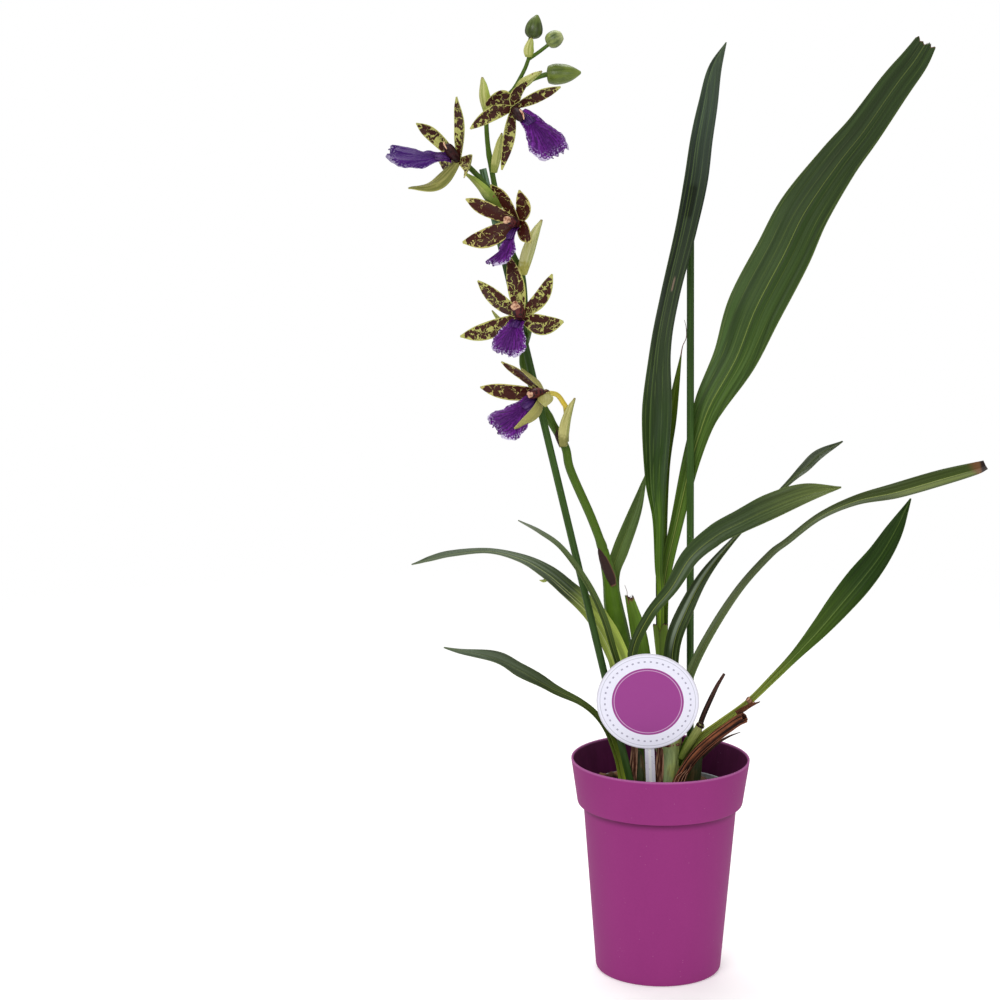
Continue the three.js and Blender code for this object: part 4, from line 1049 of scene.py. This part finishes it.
def lip(hub, middle, tip, width, face):
    """A fan with a frilled margin. The frill is a wave round the throat that grows towards the
    margin, and the outer edge is scalloped. The sides rise near the throat and fall further out.
    The mark fan says how far from the throat a point is, and at what angle."""
    start = hub + 0.22 * (np.array(middle) - hub)

    def fan(u, v):
        sides = np.abs(u) ** 5 * np.clip(v * 3, 0, 1)
        far = (sides + np.clip((v - 0.15) / 0.85, 0, 1) ** 5) ** 0.2
        return far, np.arctan2(u * 0.9, np.clip(v - 0.12, 0.04, 1))

    def frill(u, v):
        far, angle = fan(u, v)
        wave = np.sin(9 * angle + 1.2) + 0.4 * np.sin(19 * angle + 0.4)
        rise = 0.1 * width * np.exp(-(((v - 0.12) / 0.16) ** 2)) * np.abs(u) ** 2
        pleat = 0.16 * np.cos(17 * angle) * np.clip(v * 3 - 0.6, 0, 1) * (1 - far**3)
        return 1.2 * wave * np.clip((far - 0.4) / 0.6, 0, 1) ** 2 + rise + pleat

    def end(u):
        return 1 - 0.05 * np.abs(np.sin(u * 6 + 0.5)) - 0.012 * np.cos(u * 19)

    def scallop(u, v):
        beat = np.sin(25 * v + 2.5 * np.sign(u)) + 0.5 * np.sin(58 * v)
        return 1 + 0.035 * beat * np.clip(v * 4 - 1, 0, 1)

    points, quads, triangles, marks = blade(
        [start, middle, tip], LIP_WIDTHS * width, face, fold=-0.2, thickness=0.7, steps=110,
        around=120, end=end, shape=frill, outline=scallop)
    far, angle = fan(marks["share"][:, 0], marks["share"][:, 1])
    marks["fan"] = np.stack([0 * far, far, angle], -1)
    return points, quads, triangles, marks


def crest(hub, middle, face, width):
    """The fleshy fan in the throat: a thick short blade that lies on the lip."""
    hub, middle, face = np.array(hub, float), np.array(middle, float), unit(np.array(face, float))
    away = middle - hub
    route = [hub + far * away + high * face
             for far, high in ((0.26, 0.8), (0.48, 1.7), (0.68, 1.1))]
    return blade(route, np.array([0.16, 0.3, 0.36, 0.3]) * width, face, fold=-0.25, thickness=1.8,
                 steps=30, around=48, pleat=0.3, pleats=4)


# %% Five blooms
blooms = {
    "a": ([-81, -19, 412], [-0.8, -0.55, -0.1], [
        ([-96, -23, 425], [-110, -24, 434], 10), ([-105, -20, 413], [-125, -14, 415], 12),
        ([-88, -16, 421], [-97, -14, 428], 10, [-0.4, 0.3, -0.9]),
        ([-80, -29, 411], [-79.5, -38, 405.5], 11, [0, 0.4, -1]),
        ([-86, -31, 400], [-100.5, -38, 390.5], 10, [-0.5, 0.75, 0.3])],
        ([-101, -29, 398], [-115, -35, 390], 31, [-0.45, -0.75, 0.5]),
        [[-82, -20, 412], [-87, -26, 413], [-92, -31, 412]]),
    "b": ([-97, -20, 464], [-0.3, -0.93, 0.15], [
        ([-100, -21, 485], [-105, -17, 504], 13), ([-113, -17, 475], [-127, -10, 487], 11),
        ([-83, -23, 477], [-76, -22, 493], 11), ([-119, -17, 454], [-139, -9, 449], 12.5),
        ([-82, -26, 459], [-68, -31, 462], 14)],
        ([-103, -34, 454], [-108, -39, 440], 25, [-0.2, -0.75, 0.6]),
        [[-97, -22, 464], [-98, -28, 468], [-100, -33, 473]]),
    "c": ([-99, -14, 527], [-0.7, -0.68, -0.1], [
        ([-108, -15, 542], [-118, -13, 552], 12), ([-95, -18, 537], [-98, -24, 549], 12,
                                                   [-0.4, -0.9, 0.1]),
        ([-120, -13, 536], [-135, -10, 542], 12), ([-118, -15, 517], [-137, -12, 513], 14),
        ([-94, -24, 521], [-90, -34, 515], 12, [-0.8, -0.3, 0.4])],
        ([-108, -25, 510], [-118, -31, 500], 23, [-0.6, -0.4, 0.7]),
        [[-100, -16, 526], [-103, -23, 528], [-106, -28, 529]]),
    "d": ([-139, -12, 568], [-0.75, -0.65, 0.1], [
        ([-138, -12, 589], [-141, -8, 610], 12), ([-155, -6, 583], [-169, 0, 592], 11),
        ([-154, -21, 553], [-172, -27, 550], 11, [-0.3, 0.4, -0.8]),
        ([-131, -24, 566], [-134, -37, 558], 12, [-0.8, 0, 0.5]),
        ([-146, 6, 563], [-156, 22, 566], 11)],
        ([-163, -16, 571], [-187, -14, 575], 27, [0.1, -0.45, 0.9]),
        [[-140, -12.5, 568], [-144.4, -16, 574], [-147.4, -18, 579]]),
    "e": ([-103, -14, 603], [0.45, -0.8, -0.3], [
        ([-86, -20, 611], [-71, -20, 617], 9), ([-101, -15, 612], [-93, -10, 621], 9),
        ([-111, -14, 610], [-122, -17, 604], 11), ([-118, -19, 599], [-131, -20, 589], 11),
        ([-106, -19, 583], [-110, -20, 562], 9.5)],
        ([-84, -26, 588], [-71, -31, 572], 28, [0.45, -0.75, 0.3]),
        [[-102, -17, 602], [-99, -23, 599], [-96, -28, 596]]),
}
COLUMN_RADII = np.array([3.0, 3.9, 4.3, 4.0, 2.4])
winged = lambda turn, share: 1 + 0.1 * np.cos(2 * turn) * share
lumpy = lambda turn, share: (1 + 0.16 * np.cos(3 * turn + 2 * share)
                             + 0.08 * np.cos(5 * turn + 1))
for letter, (hub, axis, tepals, (middle, tip, width, lip_face), route) in blooms.items():
    hub, ahead = np.array(hub, float), unit(np.array(axis))
    ovary = stem([hub - 3 * ahead, hub, hub + 1.5 * ahead], [1.9, 2.6, 2.3, 1], 16, 20)
    fans = [tepal(hub, *t[:3], t[3] if len(t) > 3 else axis, k) for k, t in enumerate(tepals)]
    cap_route, cap_radii, plump = CAPS[letter]
    for part, skins, finish, slot, packed in (
        ("tepals", [ovary, *fans], tepal_skin, "tepal", True),
        ("lip", [lip(hub, middle, tip, width, lip_face)], lip_skin, "lip", True),
        ("crest", [crest(hub, middle, lip_face, width)], crest_skin, "lip", False),
        ("column", [stem(route, plump * COLUMN_RADII, 40, 36, winged, (0, 2))],
         column_skin, "column", True),
        ("cap", [stem(cap_route, cap_radii, 24, 32, lumpy, (0.6, 0.6))],
         cap_skin, "column", False),
    ):
        nodes = [f"bloom_{letter}_{part}"] if packed else []
        build(f"flower_{letter}_{part}", skins, finish, slot, *nodes)

# %% [markdown]
# ## Buds and bracts
#
# Closed buds are plump and pointed, with three shallow furrows where the tepals meet. At each
# joint of the spike a pale bract, boat-shaped, holds its stalk. A bud is a stem that swells, and
# a bract is a blade with a deep fold.

# %% Bud and bract finishes
def bud_finish(name, dark, light, tip):
    """A glossy green skin with fine lines that run from the stalk to a paler tip."""
    bud = Finish(name, Specular_IOR_Level=0.4)
    _, run, _ = bud.mark("share")
    strand = bud.strands(5, 30, of="share")
    blot = bud.noise(bud.place(), 140, 2)
    tone = bud.mix(strand.rise(0.3, 0.7) * 0.5 + blot.rise(0.35, 0.65) * 0.5, dark, light)
    # paler towards the tip: partly the bud's own colour and partly a painted highlight
    tone = tone.tint(run.rise(0.6, 1.0) * 0.5, tip)
    return bud.coat(tone, 0.3 + strand * 0.15, strand, 0.00015)


def bract_finish(name, dark, light, foot, low):
    """Pale, papery green with lines along it; foot is the colour of its lowest part, up to low."""
    bract = Finish(name, Specular_IOR_Level=0.25)
    across, run, _ = bract.mark("share")
    _, length, _ = bract.mark("metres")
    strand = bract.noise(bract.vector(across * 9, length * 30, run), 1, 3)
    spot = bract.noise(bract.place(), 330, 2)
    tone = bract.mix(strand.rise(0.3, 0.7), dark, light)
    tone = tone.tint(abs(across).fall(0.02, 0.3) * 0.4, "#7d9040")
    tone = tone.tint(across.rise(0.1, 0.9) * 0.55, "#93ad3c")
    tone = tone.tint((run + (spot - 0.5) * 0.3).fall(low * 0.5, low) * 0.85, foot)
    tone = tone.tint(spot.rise(0.7, 0.75) * 0.8, "#7a4a35")
    tone = tone.tint(run.rise(0.93, 1.0) * 0.6, "#8b6a3a")
    return bract.coat(tone, 0.42 + strand * 0.15, strand, 0.0003)


# %% Buds and bracts
def furrowed(turn, share):
    """Three narrow furrows round a bud, deepest half way along it."""
    return 1 - 0.05 * np.exp(-((np.sin(1.5 * turn) / 0.16) ** 2)) * np.sin(np.pi * share)


for name, node, route, radii, *tones in (
    ("top_bud", "bud_top", [[-90.5, 0, 648], [-89.5, 0, 656], [-87.5, 0, 664]],
     [2.8, 5.6, 6, 5.2, 3.4, 0.7], "#333f13", "#56682a", "#7f8f48"),
    ("small_bud", "bud_small", [[-81, -2, 644.5], [-76, -2, 648], [-70.5, -2, 650.5]],
     [3, 5.3, 5.7, 4.9, 2.3], "#44542a", "#97a45a", "#cdd29a"),
    ("side_bud", "bud_side", [[-81, -4, 624.5], [-71, -4, 625], [-58, -4, 626]],
     [5.4, 6.9, 6.9, 6, 3.9, 0.8], "#4c5c20", "#6f7f30", "#8a9a4c"),
):
    build(name, [stem(route, radii, 44, 60, furrowed, (1.4, 0.5))],
          bud_finish(name + "_skin", *tones), "bud", node)

BRACT_WIDTHS = np.array([0.7, 0.95, 1, 0.85, 0.6, 0.12])
plain = ("#a8ab52", "#d2d18c", "#96a04a", 0.2)
for name, route, width, face, tones in (
    ("bract_a", [[-67, -3, 373], [-65, -6, 390], [-61, -5, 407]], 13, [-0.75, 0.6, 0.2],
     ("#a4a056", "#ccc684", "#7e7a3c", 0.3)),
    ("bract_b", [[-100, 1, 437], [-109, -1, 451], [-118, 0, 466]], 9, [0.7, -0.5, 0.5], plain),
    ("bract_c", [[-96, 0, 490], [-90, -4, 510], [-84, -3, 528]], 13, [-0.6, 0.75, 0.3],
     ("#b6b65a", "#e6e2b0", "#b4ae4c", 0.25)),
    ("bract_d", [[-114, -11, 534], [-123, -18, 547], [-135, -18, 560]], 12, [0.1, 0.4, 0.5],
     ("#6f7a30", "#a3a65c", "#5f7226", 0.6)),
    ("bract_e", [[-122, -4, 600], [-124, -6, 611], [-124, -6, 623]], 11, [0.5, 0.8, 0], plain),
    ("bract_between", [[-116, -0.5, 559], [-113, -4, 573], [-111, -5, 586]], 8, [-0.5, 0.8, 0],
     plain),
    ("bract_side_bud", [[-100, -4, 615], [-93, -7, 620], [-84, -7, 627]], 9, [0, 0.7, 0.6], plain),
    ("bract_top_bud", [[-93, -3, 636], [-93, -4, 642], [-91, -4, 649]], 8, [0, 0.9, 0], plain),
):
    boat = blade(route, BRACT_WIDTHS * width, face, fold=0.6, thickness=0.7, steps=50,
                 around=32, pleat=0.12)
    build("boat_" + name, [boat], bract_finish(name + "_skin", *tones), "bract", name)

# %% [markdown]
# ## Leaves
#
# Zygopetalum leaves are long straps, pleated lengthwise, with a light midrib. Each is a blade
# along its own curve. The old ones are dark with a painted grey sheen, the young ones are bright
# green, and tips turn brown. One function mixes the finish for a leaf from a few of its colours,
# so each leaf keeps its own tone: fine veins are a noise that is stretched along the leaf, and
# they also give the relief.

# %% Leaf finish
def leaf_finish(name, tones, rib="#8c9a48", dry=0, gloss=0.38, shine=0.14, under="#40512c",
                veins=20, lines=0.2, ridge=0.6, sheen_tone="#56614e", sheen_share=0.1, burnt=0.2, slant=0,
                streaks=()):
    """Colours of a leaf: its tones from foot to tip, its midrib, the share of it that is a brown
    tip, its lower side, how many veins cross it, how clear its light lines and its midrib are, and
    the painted grey sheen on it, with its share. burnt is the black part of a brown tip, and slant
    tilts its border. Each streak is a stripe of its own: its place and half width across the leaf,
    where it starts and ends along it, its colour and its share. Some streaks are lines of the leaf
    itself, and some are painted highlights, painted sheen and painted shadows."""
    leaf = Finish(name, Specular_IOR_Level=shine)
    across, run, face = leaf.mark("share")
    width, length, left = leaf.mark("metres")
    where = leaf.place()
    fine = leaf.noise(leaf.vector(width * 32 * veins, length * 5, face * 0.2), 1, 2, 0.6)
    band = leaf.noise(leaf.vector(across * 3.2, length * 3, 0.0), 1, 2)
    cloud = leaf.noise(where, 38, 3)
    tone = leaf.ramp(run + (cloud - 0.5) * 0.1, tones)
    tone = leaf.stretch(tone, 1 + (fine - 0.5) * 1.3 + (band - 0.5) * 1.2)
    # painted sheen: grey lengthwise streaks of the sheen colour over the leaf
    grey = leaf.noise(leaf.vector(across * 2.2, length * 9, 5.0), 1, 3)
    tone = tone.tint(grey.rise(0.5, 0.72) * sheen_share, sheen_tone)
    for middle, half, start, stop, colour, share in streaks:
        stripe = abs(across - middle + (band - 0.5) * half).fall(half * 0.3, half)
        full, ebb = start * 0.8 + stop * 0.2, start * 0.3 + stop * 0.7
        stripe = stripe * run.between(start, full, ebb, stop)
        tone = tone.tint(stripe * fine.rise(0.2, 0.45) * share, colour)
    below = face.fall(-0.4, 0.4)
    tone = tone.tint(below * 0.25, under)
    line = (across * 21 + band * 3).sine().rise(0.9, 0.995) * fine.rise(0.35, 0.6)
    tone = tone.tint(line * lines * (1 - run * 0.5), rib)
    middle = abs(width).fall(0.0001, 0.0005) * (1 - run.rise(0.3, 0.9) * 0.75)
    tone = tone.tint(middle * ridge, rib)
    tone = tone.tint(abs(across).rise(0.95, 0.99) * 0.2, rib)
    if dry:
        torn = (left + (cloud - 0.5) * dry * 0.4).fall(dry * 0.7, dry)
        tone = tone.tint(torn, "#6b4a2c")
        black = (left + across * dry * slant).fall(dry * burnt, dry * (0.3 + burnt))
        tone = tone.tint(black, "#20130d")
    groove = leaf.noise(leaf.vector(width * 24 * veins, length * 4, face * 0.2), 1, 1)
    relief = groove * 0.8 - middle * 0.5 + band * 0.5
    return leaf.coat(tone, gloss + cloud * 0.16, relief, 0.0005)


# %% Eleven leaves
leaves = {
    "tall_left": (
        [[1, 1.5, 182], [1, 3, 265], [0, 2, 289], [1, 1, 322], [2, 0, 350], [5, -2, 397],
         [4, -4, 440], [9, -6, 475], [20, -8, 520], [27, -9, 553], [30, -10, 581], [33, -12, 605],
         [35, -13, 628], [38, -14, 646]],
        [8, 9, 11, 17, 30, 41, 29, 26, 29, 32, 30, 26, 18, 1], [-0.95, -0.3, 0],
        dict(fold=2.1, steps=260, pleat=0.25),
        # the grey of the upper tones is partly the leaf's own colour and partly a painted sheen
        dict(tones=("#83a314", "#436605", "#243e04", "#38422f", "#232c23", "#424f43", "#495643"),
             streaks=((-0.55, 0.14, 0, 0.2, "#35500c", 0.8),
                      (-0.25, 0.1, 0.05, 0.35, "#1d3206", 0.7),
                      (-0.7, 0.1, 0.1, 0.3, "#6f8f2c", 0.5), (-0.1, 0.08, 0.3, 0.5, "#62705a", 0.5),
                      (-0.78, 0.07, 0.546, 0.566, "#8d7868", 1),
                      # painted shadow: a black slit in the leaf's fold, near the top of the right cane
                      (-0.88, 0.3, 0.63, 0.695, "#080c06", 1.6),
                      (-0.5, 0.12, 0.5, 0.75, "#26301f", 0.6)),
             rib="#7f9a4a", under="#2c3c22", lines=0.3, sheen_share=0.2, sheen_tone="#5c6860")),
    "tall_right": (
        [[1, 3.5, 181], [1, 9.5, 215], [1, 10, 263], [3, 11, 286], [10, 14, 319], [18, 16, 356],
         [26, 18, 384], [33, 20, 402], [49, 26, 431], [62, 30, 465], [81, 36, 502], [95, 40, 531],
         [117, 48, 563], [135, 53, 586], [156, 61, 616], [169, 66, 633], [178, 70, 647]],
        [6, 8, 8, 9, 10, 13, 17, 24, 33, 41, 41, 38, 31, 27, 24, 21, 16], [-0.35, -0.9, 0.2],
        dict(fold=0.16, ripple=1, waves=3, steps=300, pleat=0.5, keel=0.4,
             end=lambda u: 1 - 0.012 * np.abs(np.sin(3.1 * u + 0.9)) - 0.004 * np.cos(u * 11)),
        dict(tones=("#546f1b", "#48641b", "#3a5120", "#2c3d19", "#293a18"), rib="#97a550",
             dry=0.003, sheen_share=0.05,
             streaks=((0.5, 0.12, 0.35, 0.75, "#22380e", 0.5),
                      (-0.45, 0.1, 0.2, 0.6, "#5f7a3a", 0.35),
                      (0.25, 0.08, 0.1, 0.5, "#6a8440", 0.35),
                      (-0.2, 0.07, 0.5, 0.95, "#1f3212", 0.5),
                      (0.75, 0.1, 0.25, 0.6, "#4f7034", 0.4)))),
    "small_back": (
        [[1, 4, 181], [-0.5, 12, 205], [-1, 17, 290], [0, 16, 354], [5, 14, 393], [11, 12, 435]],
        [6, 6, 8, 9, 8, 1], [0, -1, 0], dict(fold=0.4, keel=0.3),
        dict(tones=("#152402", "#2f4406", "#3b500a", "#44570c"))),
    "front_right": (
        [[-1, -11, 168], [-14, -13, 198], [-20, -17, 230], [-9, -20, 258], [6, -24, 279],
         [19, -30, 302], [36, -40, 319], [53, -52, 331], [70, -64, 342], [92, -78, 354],
         [115, -90, 362]],
        [7, 6, 7, 8, 10, 14, 18, 20, 22, 17, 1], [0.05, -0.75, 0.65],
        dict(fold=0.25, steps=220, pleat=0.35, keel=0.35),
        dict(tones=("#384615", "#32431d", "#364726", "#3c4c29", "#616d39"), gloss=0.32,
             sheen_tone="#66725e", sheen_share=0.25, lines=0.08,
             # painted sheen: a broad grey streak across the middle of the leaf
             streaks=((-0.3, 0.35, 0.3, 0.6, "#6d7a66", 0.45),))),
    "mid_right": (
        [[7, -7, 182], [7, -8, 205], [8.5, -10, 236], [16.5, -12, 260], [30, -12, 287],
         [51, -6, 313], [70, 0, 332], [86, 6, 348], [97, 12, 357], [107, 16, 366], [123, 20, 375]],
        [9, 11, 13, 13, 8.5, 3.2, 3.4, 4, 8, 8, 1], [-0.3, -0.85, 0.4],
        dict(fold=0.45, steps=200, pleat=0.25, keel=0.3),
        dict(tones=("#172708", "#24350c", "#3c482c", "#36412b"),
             # painted highlight: a pale glossy streak along the left of the leaf's lower half
             streaks=((0.3, 0.34, 0.16, 0.56, "#93a08a", 0.62),
                      (-0.5, 0.2, 0.05, 0.4, "#4f6134", 0.6)),
             gloss=0.25, shine=0.28, sheen_share=0)),
    "long_right": (
        [[11, -4, 176], [16, -6, 194], [21, -8, 217], [35, -6, 246], [54, 0, 275], [74, 6, 297],
         [86, 10, 306], [108, 17, 322], [133, 25, 332], [161, 34, 337], [193, 43, 345],
         [217, 49, 351], [225, 50, 354]],
        [7, 7, 7.5, 7, 6.3, 6, 5.6, 6.4, 9, 14, 14.5, 11.5, 8.5], [-0.2, -0.7, 0.7],
        dict(fold=0.3, steps=240, pleat=0.2, keel=0.3),
        dict(tones=("#526431", "#535d3e", "#3f4b24", "#3a4a14"), dry=0.1, gloss=0.42,
             sheen_tone="#707c6a", sheen_share=0.25, lines=0.08, ridge=0.3, burnt=0.3, slant=0.15,
             streaks=((-0.5, 0.5, 0.72, 1.02, "#788432", 0.45),
                      (-0.05, 0.07, 0.5, 0.97, "#98a457", 0.6)))),
    "far_right": (
        [[14, -9, 148], [18, -10, 158], [27, -12, 170], [41, -12, 181], [60, -14, 197],
         [76, -16, 214], [92, -18, 232], [108, -20, 251], [122, -21, 269], [135, -22, 286],
         [147, -23, 303], [157, -25, 322], [166, -28, 344]],
        [5, 6, 6, 6, 5, 6, 8, 14, 19, 21, 18, 13, 1], [-0.3, -0.85, 0.4],
        dict(fold=0.35, steps=220, pleat=0.35, keel=0.3),
        dict(tones=("#a0ad52", "#98a144", "#42591a", "#223a09", "#21360d"), rib="#8aa352",
             ridge=0.65, lines=0.1)),
    "upper_left": (
        [[-1, -4, 166], [-24, -4, 200], [-32, -3, 226], [-47, 3, 252], [-68, 12, 270],
         [-82, 18, 280], [-99, 26, 287.5], [-123, 38, 290.5], [-150, 48, 286], [-166, 54, 281],
         [-180, 60, 276]],
        [8, 16, 20, 20, 17, 15, 10, 6.5, 8, 7, 1], [0.25, -0.5, 0.8],
        dict(fold=0.3, steps=220, pleat=0.35, keel=0.35),
        dict(tones=("#c8d866", "#c3d560", "#2e3a1f", "#49563d", "#545f4e", "#56624a"),
             streaks=((-0.5, 0.3, 0.0, 0.3, "#55702a", 0.5),
                      (0.35, 0.05, 0.0, 0.5, "#d4dc98", 0.7)), rib="#a7b268", under="#6f7a66",
             sheen_tone="#747d70", sheen_share=0.35)),
    "narrow_left": (
        [[-4, -7, 170], [-22, -14, 200], [-32, -19, 230], [-40, -23, 257], [-51, -28, 282],
         [-68, -36, 308], [-83, -43, 321], [-97, -50, 330]],
        [4.5, 5, 5.5, 6, 5.5, 4.5, 3.5, 0.8], [0.4, -0.7, 0.5], dict(fold=0.4, keel=0.25),
        dict(tones=("#2d3c0f", "#364717", "#4a5a32", "#747b6d"))),
    "low_left": (
        [[-22, -12, 118], [-26, -14, 138], [-30, -15, 157], [-39, -18, 180], [-56, -24, 198],
         [-77, -31, 210], [-96, -38, 223], [-116, -45, 234], [-147, -56, 243]],
        [5, 6, 7, 6, 6, 9.5, 12.5, 9.5, 1], [0.3, -0.65, 0.7],
        dict(fold=0.3, steps=180, keel=0.3, ripple=1.4, waves=5),
        dict(tones=("#b1c842", "#455515", "#364127", "#525e4b"), gloss=0.34, sheen_tone="#66705f",
             sheen_share=0.35)),
    "back_left": (
        [[-17, 13, 172], [-21, 18.5, 202], [-27, 21.5, 228], [-34, 21, 262], [-35, 23, 280],
         [-30, 28, 296], [-20, 36, 322], [-12, 44, 347]],
        [3, 9, 10, 10, 11, 13, 10, 1], [0.3, -0.95, 0], dict(fold=0.4, pleat=0.25, keel=0.3),
        dict(tones=("#4d6d15", "#4e6320", "#516736"))),
}
for name, (route, widths, face, form, colours) in leaves.items():
    build(name + "_leaf", [blade(route, widths, face, thickness=0.7, **form)],
          leaf_finish("leaf_" + name, **colours), "leaf", "leaf_" + name)

# %% [markdown]
# ## Cut stubs, husks and a twig
#
# Where old leaves were cut away, short stubs are left with brown, ragged tops. Dry papery husks
# and a thin twig stand between the bulbs, with a few loose fibres and hairs. They are short blades
# and stems, in their dry or green finish, and end raggedly.

# %% Stubs, husks and twig
stub_green = leaf_finish("stub_green", ("#4e6a1a", "#577620", "#5d7a28"), rib="#8aa040",
                         dry=0.035, veins=9, lines=0.4, ridge=0)
stub_dark = leaf_finish("stub_dark", ("#7d9838", "#6e8834", "#647a32"), rib="#a3a868",
                        dry=0.012, veins=9, lines=0.2, ridge=0.2)
stub_pale = leaf_finish("stub_pale", ("#7f9438", "#a2b056", "#c2c47a"), rib="#b3b070",
                        veins=9, lines=0.3, ridge=0)
ragged = lambda u: 1 - 0.05 * np.abs(np.sin(6 * u + 1)) - 0.03 * np.cos(17 * u)
slanted = lambda u: 1 - 0.03 * np.cos(2 * u + 0.8) - 0.012 * np.sin(19 * u)
notched = lambda u: (1 - 0.09 * np.maximum(1 - 2 * np.abs(u - 0.1), 0)
                     - 0.015 * np.abs(np.sin(11 * u)))
for name, nodes, finish, slot, route, widths, face, cut, fold in (
    ("left_stub", ["stub_left"], stub_green, "green_sheath",
     [[-2, 0.5, 170], [-9, 2, 192], [-16, 2, 238], [-23.5, 2, 269]], [6, 12, 12.5, 6],
     [-0.2, -1, 0], slanted, -0.4),
    ("middle_stub", ["stub_middle"], stub_dark, "leaf",
     [[1, -4, 188], [0, -4, 215], [-1, -4, 251]], [7, 7, 15], [0, -1, 0], notched, 1.0),
    ("left_husk", ["husk_left"], tan_sheath, "dry_sheath",
     [[-21, -15, 120], [-19.5, -16, 142], [-18, -15, 166]], [6.5, 6.5, 5], [-0.3, -0.9, 0], ragged,
     -0.5),
    ("tan_husk", [], tan_sheath, "dry_sheath",
     [[-1.5, -13, 122], [-1.2, -15, 142], [0.5, -14, 167]], [7, 7, 6], [-0.2, -0.9, 0], ragged,
     -0.5),
):
    strip = blade(route, widths, face, fold=fold, thickness=0.8, steps=80, pleat=0.2, pleats=4,
                  end=cut)
    build(name, [strip], finish, slot, *nodes)

splinter = lambda turn, share: 1 + 0.12 * np.cos(5 * turn + 3 * share) * share
fibrous = lambda turn, share: (1 + 0.05 * np.cos(7 * turn + share)
                               + 0.04 * np.cos(15 * turn - 2 * share)
                               + 0.03 * np.cos(29 * turn))


def rods(*rows):
    """Builds a piece from each row: its name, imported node, finish and slot, and its stem."""
    for name, nodes, finish, slot, *form in rows:
        build(name, [stem(*form)], finish, slot, *nodes)


rods(
    ("right_husk", ["husk_right"], dry_sheath, "dry_sheath",
     [[5, -22, 128], [17, -22, 151], [25.5, -22, 163], [36, -21.5, 173], [47, -21.5, 181.8],
      [53, -22.8, 186.6], [57.4, -25.2, 189.4]],
     [2.6, 3.4, 3.7, 3.6, 3.5], 90, 64, fibrous, (1, 0), 7),
    ("right_stub", ["stub_right"], stub_pale, "green_sheath",
     [[14.5, -12, 156], [18, -14, 164], [28, -16, 182]],
     [2.2, 2.7, 2.5], 40, 32, splinter, (0, 0), 2),
    ("dry_twig", ["twig"], twig_bark, "dry_sheath",
     [[26, -9, 168], [28.3, -6.5, 182], [37.3, -5, 203.3], [43.6, -5, 215]],
     [1.8, 1.9, 1.6, 0.9], 50, 20, splinter),
    ("stub_scar", [], twig_bark, "dry_sheath",
     [[26.8, -15.8, 180], [28.3, -16, 182.8]], [2.9, 2.8, 1.6], 12, 28, fibrous),
    ("petiole_node", [], tan_sheath, "dry_sheath",
     [[60.6, -14, 197.2], [62.6, -14.2, 199.2]], [3.1, 3.4, 2.9], 10, 32, fibrous),
    ("bulb_ring", [], tan_sheath, "dry_sheath",
     [[4.9, -6.4, 163.8], [4.8, -6.2, 165.8]], [9.4, 9.9, 9.5], 10, 72, fibrous),
)
torn = [blade([[52, -19, 190.5], [60, -20.5, 196], tip], np.array([4, 3, 0.6]),
              [0.3, -0.9, 0.3], fold=-0.4, thickness=0.5, steps=24, around=24)
        for tip in ([68, -22, 200], [62.5, -21, 199.5])]
build("torn_sheath", torn, dry_sheath, "dry_sheath")
strands = [stem([[x, -23, 126], [x + 5, -26, 145], [x + 9 + k % 3, -27, 150 + 2 * k]],
                [0.8, 0.6, 0.4], 24, 10)
           for k, x in enumerate((6, 8.5, 10.5, 12.5))]
build("loose_fibres", strands, tan_sheath, "dry_sheath")
hair = stem([[-23, 2, 262], [-24.2, 1.5, 268], [-24.4, 1.5, 271], [-26, 1.5, 275.5]],
            [0.35, 0.2, 0.15], 20, 8)
wisp = stem([[10.8, 12, 434], [12, 12, 441], [14.4, 12, 447], [14.2, 12, 454], [13, 12, 459]],
            [0.5, 0.3, 0.25, 0.15], 30, 8)
build("dry_hair", [hair, wisp], tan_sheath, "dry_sheath")
rods(
    ("dry_thorn", [], twig_bark, "dry_sheath",
     [[25, -3, 150], [38, -2, 163], [47, -1, 168.8], [55.5, -1, 172.4]],
     [1.4, 1.2, 0.9, 0.25], 30, 12),
    ("leaf_curl", [], stub_pale, "leaf",
     [[-79.5, 18, 279], [-80.5, 18.5, 276], [-83, 19, 274], [-86, 19, 274.4]],
     [1, 1.4, 1.2, 0.3], 30, 16),
    ("young_bulb", [], stub_green, "bulb",
     [[-27.8, 5, 121], [-27.6, 4, 132], [-27, 4, 144]], [1.8, 2.6, 2.4, 1], 30, 24, None, (1, 1)),
    ("young_shoot", [], green_sheath, "green_sheath",
     [[12, -8, 150], [16, -11, 162], [19.5, -11, 171]], [2.4, 2.4, 2], 30, 24, None, (1, 1)),
)
